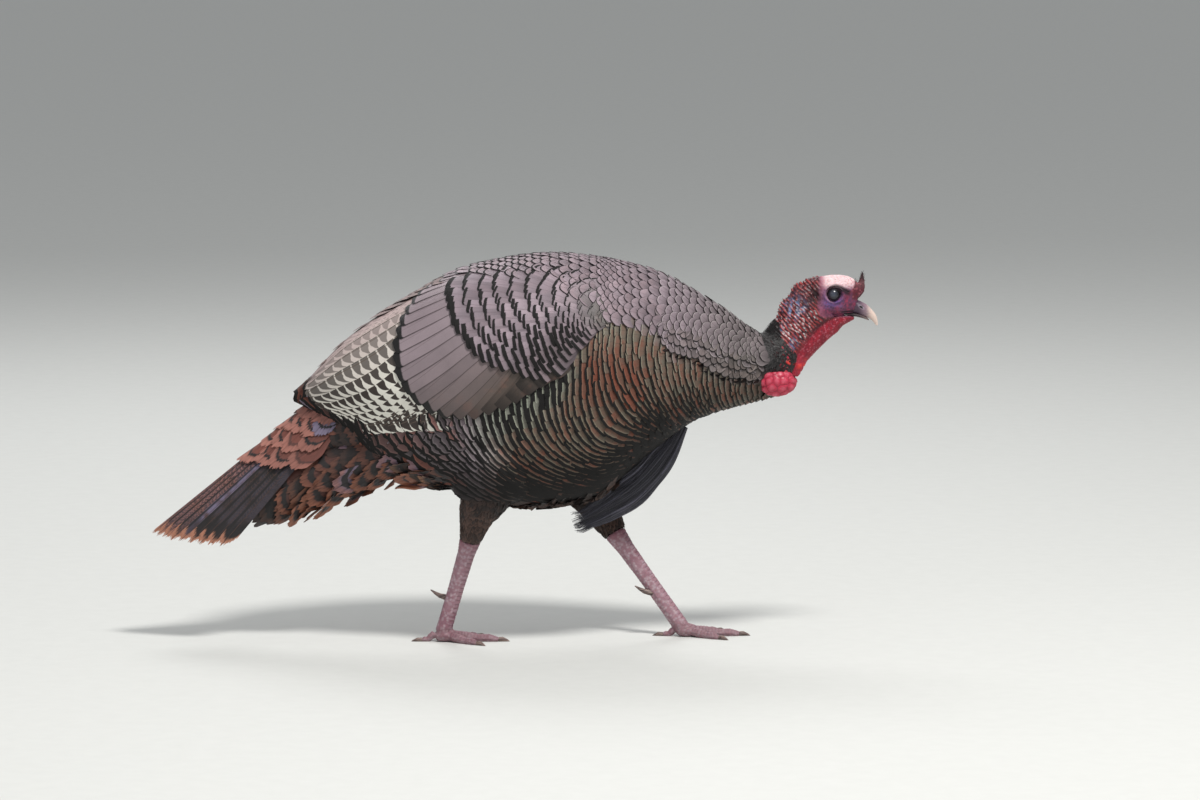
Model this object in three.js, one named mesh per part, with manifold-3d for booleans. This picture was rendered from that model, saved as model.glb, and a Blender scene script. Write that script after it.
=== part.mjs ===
// A life-size model of an adult male wild turkey, walking with its neck stretched forward.
// Millimetres. +X points along the body towards the bill, +Y to the bird's left and +Z up.
// The origin is on the floor, below the middle of the whole bird, and the soles stand at z = 0.
// Each solid reaches out to the tips of the plumage or the surface of the bare skin.
import * as THREE from "three";
import { mergeVertices } from "three/addons/utils/BufferGeometryUtils.js";
import Module from "manifold-3d";

const wasm = await Module();
wasm.setup();

// ---------------------------------------------------------------- driving dimensions
const GAP = 0.3; // clearance between neighbouring solids
const NECK_CUT_X = 262; // the plane that parts the trunk from the feathered neck
const COLLAR_X = 372; // the front end of the feathered neck
const RUMP_X = -312; // the rear end of the trunk

// Outlines of the body seen from the side and from above, as [x, value] pairs.
const BACK_Z = [
  [-312, 358], [-234, 441], [-148, 499], [-62, 540], [60, 558], [190, 538], [297, 483], [334, 456],
  [372, 431],
];
const BELLY_Z = [
  [-312, 346], [-250, 306], [-180, 246], [-90, 219], [30, 195], [110, 205], [197, 271], [268, 320],
  [372, 350],
];
const FLANK_Y = [
  [-312, 16], [-234, 66], [-148, 103], [-62, 124], [50, 131], [130, 122], [200, 99], [268, 70], [372, 38],
];
const BODY_SQUARE = 2.25; // 2 is an ellipse, more is boxier
const BODY_WIDEST = 0.5; // height of the widest line, as a share of the depth

// Folded wings. Each is a shell on the trunk's side, thickest on the shoulder.
const WING_THICK = 13;
const WING_EDGE_THICK = 3;
const WING_ROOF_THICK = 5; // over the back
const WING_FRONT_X = 150;
const WING_FRONT_FADE = 0.6; // how much thinner the shell is at its front end
// Its edges and the lines between its feather tracts, as [x, z] from the side or [x, y] from above.
const WING_LOWER_EDGE = [
  [-305, 366], [-268, 334], [-205, 317], [-119, 328], [-62, 338], [-19, 351], [46, 393], [75, 426],
  [125, 472], [152, 494],
];
const WING_INNER_EDGE = [[-320, 7], [-200, 22], [-100, 42], [0, 62], [160, 78]];
const COVERT_LINE = [
  [-112, 575], [-95, 528], [-88, 491], [-73, 459], [-47, 427], [-1, 408], [48, 392], [60, 330],
];
const PANEL_LINE = [
  [-120, 575], [-136, 505], [-158, 472], [-168, 433], [-165, 397], [-148, 364], [-116, 339], [-104, 300],
];

// Tail: nine pairs of feathers that fan from a short base, roofed from the middle to the sides.
const TAIL = {
  base: { x: -232, z: 386 }, outerBase: { x: -224, y: 26, z: 354 },
  pitch: 38.8, outerPitch: 50, yaw: 8.5, roll: 62, length: 371, outerLength: 277, thick: 5, tipThick: 1.6,
  feathers: 18,
};
const TAIL_COVERT_REACH = 0.6; // share of the tail's length that the upper coverts hide
const TAIL_COVERT_THICK = 7;

// Legs. The right leg pushes off behind, the left one has stepped forward.
const HIP_Y = 74, HOCK_Y = 46, SOLE_Y = 24;
const LEGS = {
  // the thigh's stations are [x, z, half depth, half width], from inside the flank to the hock
  right: {
    side: -1, hock: [-59, 155], ball: [-101, 10],
    thigh: [
      [-24, 264, 50, 46], [-39, 216, 38, 32], [-51, 187, 26, 22], [-58, 160, 18, 16], [-60, 149, 15, 13],
    ],
  },
  left: {
    side: 1, hock: [144, 151], ball: [246, 10],
    thigh: [
      [76, 256, 50, 46], [100, 217, 38, 32], [121, 187, 28, 23], [139, 160, 21, 18], [147, 147, 17, 15],
    ],
  },
};
const TOES = {
  // turn is the angle from straight ahead, away from the body's middle
  middle: { turn: 2, length: 80, half: 7.2 },
  inner: { turn: -33, length: 60, half: 6.4 },
  outer: { turn: 37, length: 62, half: 6.4 },
  hind: { turn: 176, length: 30, half: 5 },
};
// A claw's shape is [share of its length, share of its half size, drop below its root].
const CLAW_SHAPE = [[0, 1, 0], [0.4, 0.86, -0.6], [0.75, 0.5, 1.2], [1, 0.14, 3.4]];
const CLAW = { length: 18, half: 4.2 };
// up is the spur's place on the shank, as a share of its length from the sole.
const SPUR = { length: 27, half: 5.2, rise: 11, up: 0.37 };

// The forms below are tubes along their stations. A station has a place, a half width, and its rise
// and drop: how far the form reaches above and below that place, across its run from nose to tail.
// On a form that runs from the front to the back, rise is the lower side.
// The fluffy feathers under the tail fill its hollow from the vent to half of its length.
const UNDER_TAIL = [
  { at: [-112, 0, 262], half: 82, rise: 44, drop: 40 },
  { at: [-172, 0, 274], half: 68, rise: 42, drop: 44 },
  { at: [-232, 0, 260], half: 52, rise: 48, drop: 50 },
  { at: [-288, 0, 240], half: 44, rise: 46, drop: 52 },
  { at: [-335, 0, 218], half: 37, rise: 38, drop: 48 },
  { at: [-366, 0, 190], half: 27, rise: 28, drop: 34 },
  { at: [-386, 0, 168], half: 12, rise: 12, drop: 12 },
];

// Bare neck and head, from the collar of black feathers to the bill.
const NECK = [
  { at: [358, 0, 398], half: 26, rise: 31, drop: 26 },
  { at: [390, 0, 427], half: 23, rise: 33, drop: 27 },
  { at: [409, 0, 456], half: 20.5, rise: 32, drop: 30 },
  { at: [425, 0, 479], half: 19.5, rise: 36, drop: 35 },
  { at: [438, 0, 491], half: 18, rise: 34, drop: 38 },
];
const COLLAR = [
  { at: [345, 0, 396], half: 38, rise: 43, drop: 46 },
  { at: [364, 0, 404], half: 34, rise: 42, drop: 42 },
  { at: [379, 0, 417], half: 28, rise: 36, drop: 34 },
  { at: [386, 0, 427], half: 24, rise: 29, drop: 27 },
];
// The skull's axis slopes down from its back to the root of the bill.
const HEAD = [
  { at: [425, 0, 506], half: 12, rise: 15, drop: 14 },
  { at: [432, 0, 504.5], half: 17, rise: 20.5, drop: 23 },
  { at: [445, 0, 500], half: 20, rise: 27, drop: 30 },
  { at: [459, 0, 496], half: 19.5, rise: 32, drop: 29 },
  { at: [472, 0, 491.5], half: 16.5, rise: 34.5, drop: 24 },
  { at: [483, 0, 488], half: 12.5, rise: 30, drop: 20 },
  { at: [491, 0, 485], half: 10, rise: 20, drop: 17 },
];
const BILL_UPPER = [
  { at: [480, 0, 487], half: 8.6, rise: 8, drop: 6 },
  { at: [492, 0, 485], half: 8.8, rise: 8.6, drop: 8 },
  { at: [501, 0, 481], half: 7.8, rise: 8.2, drop: 8 },
  { at: [510, 0, 474], half: 6.2, rise: 6.8, drop: 6.4 },
  { at: [517.5, 0, 465], half: 4, rise: 4.6, drop: 4.4 },
  { at: [522, 0, 454], half: 1.2, rise: 1.4, drop: 1.4 },
];
const BILL_LOWER = [
  { at: [474, 0, 471], half: 8.4, rise: 4, drop: 4 },
  { at: [487, 0, 470], half: 8, rise: 4, drop: 3.6 },
  { at: [499, 0, 468], half: 6.4, rise: 3.6, drop: 3.2 },
  { at: [508, 0, 463.5], half: 3.6, rise: 1.8, drop: 1.8 },
];
const WATTLE = [
  { at: [488, 0, 466], half: 4.5, rise: 3, drop: 3 },
  { at: [470, 0, 463], half: 8, rise: 9.5, drop: 9 },
  { at: [458, 0, 457], half: 9, rise: 15, drop: 12 },
  { at: [442, 0, 447], half: 11, rise: 17, drop: 14 },
  { at: [424, 0, 430], half: 12.5, rise: 17, drop: 14 },
  { at: [408, 0, 408], half: 12.5, rise: 14.5, drop: 13 },
  { at: [399, 0, 384], half: 9, rise: 10, drop: 9 },
];
const SNOOD = [
  { at: [486, 0, 497], half: 6, rise: 8, drop: 8 },
  { at: [495, 0, 503], half: 5.6, rise: 7, drop: 8 },
  { at: [499, 0, 513], half: 4, rise: 5, drop: 5 },
  { at: [500, 0, 522], half: 2.2, rise: 2.4, drop: 2.4 },
  { at: [500.5, 0, 530], half: 0.9, rise: 0.9, drop: 0.9 },
];
const LOBE = { x: 377.5, y: 20, z: 374.5, rx: 25, ry: 18, rz: 18.5 };
const FRONT_LOBE = { x: 396, z: 372, rx: 11, ry: 13, rz: 11 };
const EYE = { x: 459, y: 10.9, z: 499, r: 9.4 };

const BEARD = [
  { at: [246, 0, 308], half: 5, rise: 5, drop: 8 },
  { at: [228, 0, 276], half: 11, rise: 11, drop: 14 },
  { at: [203, 0, 242], half: 15, rise: 17, drop: 19 },
  { at: [170, 0, 212], half: 16, rise: 21, drop: 20 },
  { at: [136, 0, 191], half: 14, rise: 19, drop: 17 },
  { at: [106, 0, 174], half: 9, rise: 12, drop: 11 },
  { at: [84, 0, 164], half: 3.5, rise: 4, drop: 4 },
];

// ---------------------------------------------------------------- small tools
const V = (x, y, z) => new THREE.Vector3(x, y, z);
const LATERAL = V(0, 1, 0);
const rad = THREE.MathUtils.degToRad;
const smooth = (x, low, high) => THREE.MathUtils.smoothstep(x, low, high);

// A smooth function of x through [x, value] pairs, which never overshoots between them.
function through(pairs) {
  const slope = pairs.slice(1).map(([x, v], i) => (v - pairs[i][1]) / (x - pairs[i][0]));
  const tangent = pairs.map((_, i) => {
    const before = slope[i - 1] ?? slope[i];
    const after = slope[i] ?? slope[i - 1];
    return before * after > 0 ? (2 * before * after) / (before + after) : 0;
  });
  return (x) => {
    const last = pairs.length - 2;
    const found = pairs.findIndex((pair, i) => i > 0 && x <= pair[0]) - 1;
    const i = x <= pairs[0][0] ? 0 : found < 0 ? last : found;
    const span = pairs[i + 1][0] - pairs[i][0];
    const t = THREE.MathUtils.clamp((x - pairs[i][0]) / span, 0, 1);
    const [t2, t3] = [t * t, t * t * t];
    return (
      (2 * t3 - 3 * t2 + 1) * pairs[i][1] + (t3 - 2 * t2 + t) * span * tangent[i] +
      (3 * t2 - 2 * t3) * pairs[i + 1][1] + (t3 - t2) * span * tangent[i + 1]
    );
  };
}

// One cross-section: a rounded outline about a centre, with its own height above and below.
function ring({ center, side, up, half, rise, drop = rise, square = 2, count = 20 }) {
  return Array.from({ length: count }, (_, i) => {
    const angle = (2 * Math.PI * i) / count;
    const [c, s] = [Math.cos(angle), Math.sin(angle)];
    const across = half * Math.sign(c) * Math.abs(c) ** (2 / square);
    const along = (s > 0 ? rise : drop) * Math.sign(s) * Math.abs(s) ** (2 / square);
    return center.clone().addScaledVector(side, across).addScaledVector(up, along);
  });
}

// A closed surface through rings of equal count, with a flat fan on each end.
function loft(rings) {
  const count = rings[0].length;
  const points = rings.flat();
  const faces = [];
  for (let r = 0; r + 1 < rings.length; r++) {
    for (let i = 0; i < count; i++) {
      const [a, b] = [r * count + i, r * count + ((i + 1) % count)];
      faces.push(a, b, b + count, a, b + count, a + count);
    }
  }
  [[0, 1], [rings.length - 1, -1]].forEach(([r, turn]) => {
    const middle = rings[r].reduce((sum, p) => sum.add(p), V(0, 0, 0)).divideScalar(count);
    points.push(middle);
    for (let i = 0; i < count; i++) {
      const [a, b] = [r * count + i, r * count + ((i + 1) % count)];
      faces.push(...(turn > 0 ? [points.length - 1, b, a] : [points.length - 1, a, b]));
    }
  });
  return closed(points, faces);
}

// A geometry from points and faces, turned so that its faces point out.
function closed(points, faces) {
  let volume = 0;
  for (let i = 0; i < faces.length; i += 3) {
    const [a, b, c] = [points[faces[i]], points[faces[i + 1]], points[faces[i + 2]]];
    volume += a.dot(b.clone().cross(c));
  }
  const turned = volume < 0 ? faces.slice().reverse() : faces;
  const geometry = new THREE.BufferGeometry().setFromPoints(points);
  return geometry.setIndex(turned);
}

// Rings along a smooth path through stations. Each station holds its place and half sizes.
// rise is measured on the side that T x lateral points to, and drop on the other.
function along(stations, { steps, lateral = LATERAL, square = 2, count = 16, grow = 0 } = {}) {
  const path = new THREE.CatmullRomCurve3(stations.map((s) => V(...s.at)), false, "centripetal");
  const last = stations.length - 1;
  const total = steps ?? last * 3;
  const value = (name, t) => {
    const pairs = stations.map((s, i) => [i / last, s[name] ?? s.rise]);
    return Math.max(through(pairs)(t) + grow, 0.2);
  };
  return Array.from({ length: total + 1 }, (_, i) => {
    const t = i / total;
    const tangent = path.getTangent(t);
    const side = lateral.clone().addScaledVector(tangent, -lateral.dot(tangent)).normalize();
    const up = tangent.clone().cross(side);
    const center = path.getPoint(t);
    if (i === 0) center.addScaledVector(tangent, -grow);
    if (i === total) center.addScaledVector(tangent, grow);
    return ring({
      center, side, up, half: value("half", t), rise: value("rise", t), drop: value("drop", t), square, count,
    });
  });
}

const tube = (stations, options) => loft(along(stations, options));

const ball = (x, y, z, rx, ry, rz, detail = 14) =>
  new THREE.SphereGeometry(1, detail, Math.round(detail * 0.7)).scale(rx, ry, rz).translate(x, y, z);

// Geometry to a manifold solid and back, for cuts and joins.
function solid(geometry) {
  const bare = geometry.clone();
  bare.deleteAttribute("normal");
  bare.deleteAttribute("uv");
  const merged = mergeVertices(bare, 1e-4);
  return new wasm.Manifold(
    new wasm.Mesh({
      numProp: 3,
      vertProperties: new Float32Array(merged.attributes.position.array),
      triVerts: new Uint32Array(merged.index.array),
    }),
  );
}

function geometryOf(made) {
  const biggest = made.decompose().sort((a, b) => b.volume() - a.volume())[0];
  const mesh = biggest.getMesh();
  const geometry = new THREE.BufferGeometry();
  geometry.setAttribute("position", new THREE.BufferAttribute(new Float32Array(mesh.vertProperties), 3));
  geometry.setIndex(new THREE.BufferAttribute(new Uint32Array(mesh.triVerts), 1));
  return geometry;
}

const cut = (geometry, ...tools) =>
  geometryOf(tools.reduce((left, tool) => left.subtract(solid(tool)), solid(geometry)));
const common = (geometry, ...others) =>
  geometryOf(others.reduce((left, other) => left.intersect(solid(other)), solid(geometry)));
const joined = (...geometries) =>
  geometryOf(geometries.slice(1).reduce((sum, next) => sum.add(solid(next)), solid(geometries[0])));

// Cutting blocks reach past the bird on every side.
const PAST = { rear: -340, side: 220, under: -50, above: 620 };

// A block with an outline drawn in the side view, from y = from to y = to.
function sideBlock(outline, from, to) {
  const shape = new THREE.Shape(outline.map(([x, z]) => new THREE.Vector2(x, z)));
  const block = new THREE.ExtrudeGeometry(shape, { depth: to - from, bevelEnabled: false });
  return block.rotateX(Math.PI / 2).translate(0, to, 0);
}

// A block with an outline drawn from above, tall enough for the whole bird.
function planBlock(outline) {
  const shape = new THREE.Shape(outline.map(([x, y]) => new THREE.Vector2(x, y)));
  const depth = PAST.above - PAST.under;
  return new THREE.ExtrudeGeometry(shape, { depth, bevelEnabled: false }).translate(0, 0, PAST.under);
}

// Points along a smooth line, for a curved edge of an outline.
function curved(pairs, count) {
  const line = new THREE.SplineCurve(pairs.map(([x, y]) => new THREE.Vector2(x, y)));
  return line.getPoints(count).map((p) => [p.x, p.y]);
}

// ---------------------------------------------------------------- trunk and feathered neck
const back = through(BACK_Z);
const belly = through(BELLY_Z);
const flank = through(FLANK_Y);
const wingLowerEdge = through(WING_LOWER_EDGE);

// The wings lie over the back behind the shoulders, so the trunk is lower there.
const roof = (x) => WING_ROOF_THICK * smooth(-x, -100, -20);

// A cross-section of the trunk at x. wing = true gives the outer face of the folded wings.
function bodyRing(x, { grow = 0, wing = false, count = 20 } = {}) {
  const top = back(x) - (wing ? 0 : roof(x)) + grow;
  const bottom = belly(x) - grow;
  const middle = bottom + (top - bottom) * BODY_WIDEST;
  const section = ring({
    center: V(x, 0, middle), side: LATERAL, up: V(0, 0, 1), half: flank(x) + grow,
    rise: top - middle, drop: middle - bottom, square: BODY_SQUARE, count,
  });
  if (!wing) return section;
  return section.map((p) => {
    const above = smooth(p.z, wingLowerEdge(x) - 4, wingLowerEdge(x) + 60);
    const full = WING_THICK * (1 - WING_FRONT_FADE * smooth(x, 30, WING_FRONT_X));
    const thick = WING_EDGE_THICK + (full - WING_EDGE_THICK) * above;
    const share = Math.abs(p.y) / flank(x);
    return V(p.x, p.y + Math.sign(p.y) * thick * Math.min(1, share * 1.2), p.z);
  });
}

function bodyLoft(from, to, steps, options = {}) {
  const past = (i) => (i === 0 ? -1 : i === steps ? 1 : 0) * (options.grow ?? 0);
  const xs = Array.from({ length: steps + 1 }, (_, i) => from + ((to - from) * i) / steps + past(i));
  return loft(xs.map((x) => bodyRing(x, options)));
}

const BODY_STEPS = 14;
const trunkLoft = (options) => bodyLoft(RUMP_X, NECK_CUT_X, BODY_STEPS, options);
const trunk = trunkLoft();
const trunkTool = trunkLoft({ grow: GAP });
const hull = trunkLoft({ wing: true });
const hullTool = trunkLoft({ wing: true, grow: GAP });
const neckFeathersOf = (options) => bodyLoft(NECK_CUT_X + 2 * GAP, COLLAR_X, 4, options);
const neckFeathersTool = neckFeathersOf({ grow: GAP });

// ---------------------------------------------------------------- folded wings
// Each wing is the shell between the trunk and the hull, parted along its feather tracts.
function wingOf(side) {
  const [from, to] = side > 0 ? [0, PAST.side] : [-PAST.side, 0];
  const lower = curved(WING_LOWER_EDGE, 14);
  const outline = [...lower, [WING_FRONT_X, PAST.above], [PAST.rear, PAST.above], [PAST.rear, lower[0][1]]];
  const inner = curved(WING_INNER_EDGE, 8);
  const corners = [[inner.at(-1)[0], PAST.side], [PAST.rear, PAST.side], [PAST.rear, inner[0][1]]];
  const plan = [...inner, ...corners].map(([x, y]) => [x, side * y]);
  const shell = cut(common(hull, sideBlock(outline, from, to), planBlock(plan)), trunkTool);
  const behind = (line, shift) => {
    const edge = curved(line, 10).map(([x, z]) => [x + shift, z]);
    return sideBlock([...edge, [PAST.rear, 250], [PAST.rear, PAST.above]], from, to);
  };
  return {
    coverts: cut(shell, behind(COVERT_LINE, GAP / 2)),
    panel: cut(common(shell, behind(COVERT_LINE, -GAP / 2)), behind(PANEL_LINE, GAP / 2)),
    flight: common(shell, behind(PANEL_LINE, -GAP / 2)),
  };
}

// ---------------------------------------------------------------- tail
// A place on the fan: f runs from -1 (right edge) to 1 (left edge), t from the base to the tips.
function tailPoint(f, t, lift = 0) {
  const a = Math.abs(f);
  const mix = THREE.MathUtils.lerp;
  const pitch = rad(mix(TAIL.pitch, TAIL.outerPitch, a ** 1.3));
  const yaw = rad(TAIL.yaw * f);
  const length = mix(TAIL.length, TAIL.outerLength, a ** 1.6);
  const start = V(
    mix(TAIL.base.x, TAIL.outerBase.x, a), TAIL.outerBase.y * f, mix(TAIL.base.z, TAIL.outerBase.z, a * a),
  );
  const way = V(-Math.cos(pitch) * Math.cos(yaw), Math.cos(pitch) * Math.sin(yaw), -Math.sin(pitch));
  const roll = rad(TAIL.roll * f);
  const normal = V(-Math.sin(pitch) * Math.cos(roll), Math.sin(roll), Math.cos(pitch) * Math.cos(roll));
  return start.addScaledVector(way, t * length).addScaledVector(normal, lift);
}

// A plate that follows the fan, between two heights over it.
function tailPlate({ from, to, low, high, spread = 1, columns }) {
  const rings = [0, 1].map((end) => {
    const row = (f, lift) => {
      const t = end ? to(f) : from;
      return tailPoint(f * spread, t, lift(t));
    };
    const fs = Array.from({ length: columns + 1 }, (_, i) => (2 * i) / columns - 1);
    return [...fs.map((f) => row(f, high)), ...fs.reverse().map((f) => row(f, low))];
  });
  return loft(rings);
}

const halfTail = (t) => THREE.MathUtils.lerp(TAIL.thick, TAIL.tipThick, t) / 2;
// Each feather's tip is a round scallop of the fan's edge.
const scallop = (f) => 1 - 0.035 * (1 - Math.abs(Math.sin((Math.PI * TAIL.feathers * (f + 1)) / 2)));
const tailFan = cut(
  tailPlate({
    from: 0.1, to: scallop, columns: 2 * TAIL.feathers,
    low: (t) => -halfTail(t), high: halfTail,
  }),
  hullTool,
);
const tailCovertsUpper = cut(
  tailPlate({
    from: 0.1, to: (f) => TAIL_COVERT_REACH - 0.1 * Math.abs(f) ** 2, columns: TAIL.feathers,
    low: (t) => halfTail(t) + 4 * GAP, high: (t) => halfTail(t) + 4 * GAP + TAIL_COVERT_THICK * (1.15 - t),
  }),
  hullTool,
);

const aboveTail = tailPlate({
  from: 0, to: () => 1.1, spread: 1.3, columns: 8,
  low: (t) => -halfTail(t) - GAP, high: () => 120,
});
const underTailForm = (grow = 0) => cut(tube(UNDER_TAIL, { steps: 7, count: 12, grow }), aboveTail);
const tailCovertsUnder = cut(underTailForm(), hullTool);

// ---------------------------------------------------------------- bare neck and head
const eye = (side, grow = 0) => ball(EYE.x, side * EYE.y, EYE.z, EYE.r + grow, EYE.r + grow, EYE.r + grow, 9);
const billUpper = (grow = 0) => tube(BILL_UPPER, { steps: 8, count: 10, grow });
const billLower = (grow = 0) => tube(BILL_LOWER, { steps: 4, count: 8, grow });
const headForm = (grow = 0) => tube(HEAD, { steps: 8, count: 14, square: 2.15, grow });
const neckForm = (grow = 0) => tube(NECK, { steps: 6, count: 14, grow });
const collarForm = (grow = 0) => tube(COLLAR, { steps: 3, count: 14, grow });
const wattleForm = (grow = 0) => tube(WATTLE, { steps: 6, count: 9, grow });

const head = cut(headForm(), billUpper(GAP), billLower(GAP), eye(1, GAP), eye(-1, GAP));
const neck = cut(neckForm(), headForm(GAP), collarForm(GAP), neckFeathersTool);
const throatTools = [neckForm(GAP), headForm(GAP), collarForm(GAP), billLower(GAP)];
const wattle = cut(wattleForm(), ...throatTools, neckFeathersTool);
const snood = cut(tube(SNOOD, { steps: 6, count: 8 }), headForm(GAP), billUpper(GAP));
const billLowerCut = cut(billLower(), billUpper(GAP));

// Fleshy lobes hang at the foot of the neck: a large one on each side, a smaller one in front.
const lobe = (side, grow = 0) =>
  ball(LOBE.x, side * LOBE.y, LOBE.z, LOBE.rx + grow, LOBE.ry + grow, LOBE.rz + grow, 9);
const frontLobe = (grow = 0) =>
  ball(FRONT_LOBE.x, 0, FRONT_LOBE.z, FRONT_LOBE.rx + grow, FRONT_LOBE.ry + grow, FRONT_LOBE.rz + grow, 8);
const betweenLobes = planBlock([[300, -GAP / 2], [500, -GAP / 2], [500, GAP / 2], [300, GAP / 2]]);
const lobeTools = [lobe(1, GAP), lobe(-1, GAP)];
const frontLobeCut = cut(frontLobe(), neckForm(GAP), collarForm(GAP), wattleForm(GAP), neckFeathersTool);
const lobeOf = (side) => cut(lobe(side), frontLobe(GAP), wattleForm(GAP), neckForm(GAP), betweenLobes);
const neckFeathers = cut(neckFeathersOf(), ...lobeTools);
const collar = cut(collarForm(), neckFeathersTool, ...lobeTools);

// ---------------------------------------------------------------- beard
const beard = cut(tube(BEARD, { steps: 8, count: 10 }), trunkTool);

// ---------------------------------------------------------------- legs and feet
const FLOOR = new THREE.BoxGeometry(2000, 800, 100).translate(0, 0, -50);

function toeOf(leg, { turn, length, half }) {
  const heading = rad(turn) * leg.side;
  const way = V(Math.cos(heading), Math.sin(heading), 0);
  const origin = V(leg.ball[0], leg.side * SOLE_Y, 0);
  const hind = Math.abs(turn) > 90;
  const place = (far, z) => origin.clone().addScaledVector(way, far).setZ(z);
  const start = hind ? 12 : 15;
  const lift = hind ? 8 : 3.5;
  // Pads swell under the joints, and the sole is cut level with the floor.
  const stations = [0, 0.28, 0.54, 0.8, 1].map((t, i) => {
    const size = half * (1.06 - 0.3 * t) * (i % 2 ? 1.06 : 0.95) * (t === 1 ? 0.78 : 1);
    const height = size * 0.9 - 0.9 + lift * (1 - smooth(t, 0, 0.5));
    return { at: place(start + (length - start) * t, height).toArray(), half: size, rise: size, drop: size };
  });
  const lateral = V(-way.y, way.x, 0);
  const form = (grow = 0) => tube(stations, { steps: 4, count: 6, lateral, grow });
  // The claw grows on from the toe's end and hooks down to the floor.
  const root = place(length - 1, stations.at(-1).at[2]);
  const claw = CLAW_SHAPE.map(([t, share, lower]) => {
    const at = root.clone().addScaledVector(way, CLAW.length * t).add(V(0, 0, -lower));
    return { at: at.toArray(), half: CLAW.half * share * 0.85, rise: CLAW.half * share };
  });
  return { form, claw: cut(tube(claw, { steps: 3, count: 6, lateral }), form(GAP), FLOOR) };
}

function legOf(name) {
  const leg = LEGS[name];
  const s = leg.side;
  const [hock, sole] = [leg.hock, leg.ball];
  const shank = V(sole[0] - hock[0], 0, sole[1] - hock[1]);
  const onShank = (t) => [hock[0] + shank.x * t, s * (HOCK_Y + (SOLE_Y - HOCK_Y) * t), hock[1] + shank.z * t];
  const thighStations = leg.thigh.map(([x, z, rise, half], i) => {
    const share = smooth(i, 0, leg.thigh.length - 1);
    return { at: [x, s * (HIP_Y + (HOCK_Y - HIP_Y) * share), z], half, rise };
  });
  const thighForm = (grow = 0) => tube(thighStations, { steps: 6, count: 12, grow });
  const tarsusForm = (grow = 0) =>
    joined(
      tube(
        [
          { at: onShank(-0.08), half: 11, rise: 11, drop: 11 },
          { at: onShank(0.04), half: 13, rise: 15.5, drop: 15.5 },
          { at: onShank(0.18), half: 10.5, rise: 12.5, drop: 12.5 },
          { at: onShank(0.5), half: 9, rise: 11.2, drop: 11.2 },
          { at: onShank(0.82), half: 9.5, rise: 11.2, drop: 11.2 },
          { at: onShank(0.97), half: 12, rise: 11, drop: 12 },
        ],
        { steps: 5, count: 9, grow },
      ),
      ball(sole[0] + 4, s * SOLE_Y, 9, 17 + grow, 15 + grow, 10.5 + grow, 8),
    );
  const spurRoot = V(...onShank(1 - SPUR.up)).add(V(-6, -s * 3, 0));
  const spur = [[0, 1], [0.5, 0.72], [1, 0.16]].map(([t, share]) => ({
    at: spurRoot.clone().add(V(-SPUR.length * t, -s * 5 * t, SPUR.rise * t * t)).toArray(),
    half: SPUR.half * share, rise: SPUR.half * share,
  }));
  const parts = {
    [`thigh_${name}`]: cut(thighForm(), trunkTool, underTailForm(GAP)),
    [`tarsus_${name}`]: cut(tarsusForm(), thighForm(GAP), FLOOR),
    [`spur_${name}`]: cut(tube(spur, { steps: 4, count: 6 }), tarsusForm(GAP)),
  };
  const middle = toeOf(leg, TOES.middle).form(GAP);
  Object.entries(TOES).forEach(([toe, size]) => {
    const made = toeOf(leg, size);
    const tools = toe === "middle" || toe === "hind" ? [] : [middle];
    parts[`toe_${name}_${toe}`] = cut(made.form(), tarsusForm(GAP), ...tools, FLOOR);
    parts[`claw_${name}_${toe}`] = made.claw;
  });
  return parts;
}

// ---------------------------------------------------------------- materials and the model
const finish = (color, roughness, metalness = 0) =>
  new THREE.MeshStandardMaterial({ color, roughness, metalness });
const MATERIALS = {
  bronze: finish(0x7d6a60, 0.45, 0.25),
  barred: finish(0x8d8378, 0.6),
  chestnut: finish(0x6b3c2b, 0.6),
  dark: finish(0x2b2320, 0.6),
  black: finish(0x17161a, 0.5),
  red: finish(0xb03a48, 0.5),
  pink: finish(0xc98d95, 0.5),
  shank: finish(0xa98a8d, 0.55),
  horn: finish(0x8a7a72, 0.35),
  eye: finish(0x15151a, 0.08),
};

const group = new THREE.Group();
function add(name, geometry, material) {
  const mesh = new THREE.Mesh(geometry, MATERIALS[material]);
  mesh.name = name;
  group.add(mesh);
}

add("trunk", trunk, "bronze");
add("neck_feathers", neckFeathers, "bronze");
add("collar", collar, "black");
add("neck", neck, "red");
add("head", head, "pink");
add("wattle", wattle, "red");
add("snood", snood, "red");
add("caruncle_right", lobeOf(-1), "red");
add("caruncle_left", lobeOf(1), "red");
add("caruncle_front", frontLobeCut, "red");
add("bill_upper", billUpper(), "horn");
add("bill_lower", billLowerCut, "horn");
add("eye_right", eye(-1), "eye");
add("eye_left", eye(1), "eye");
add("beard", beard, "black");
add("tail_fan", tailFan, "chestnut");
add("tail_coverts_upper", tailCovertsUpper, "chestnut");
add("tail_coverts_under", tailCovertsUnder, "chestnut");
const WING_FINISH = { coverts: "bronze", panel: "bronze", flight: "barred" };
Object.entries({ right: wingOf(-1), left: wingOf(1) }).forEach(([name, wing]) => {
  Object.entries(wing).forEach(([part, geometry]) => {
    add(`wing_${name}_${part}`, geometry, WING_FINISH[part]);
  });
});
Object.keys(LEGS).forEach((name) => {
  Object.entries(legOf(name)).forEach(([part, geometry]) => {
    const material = part.startsWith("thigh") ? "dark" : /claw|spur/.test(part) ? "horn" : "shank";
    add(part, geometry, material);
  });
});

export default group;
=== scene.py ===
# %% [markdown]
# # A wild turkey, life size
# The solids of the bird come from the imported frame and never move. This script dresses them: one
# smooth skin under the coat, mesh feathers over it in their natural tracts, a detailed head, glossy
# eyes and horn. Every step is told first and made after it.

# %% Load the frame and note its box
import itertools
import math

import bmesh
import bpy
import numpy as np
from mathutils import Matrix, Vector, kdtree


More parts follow.
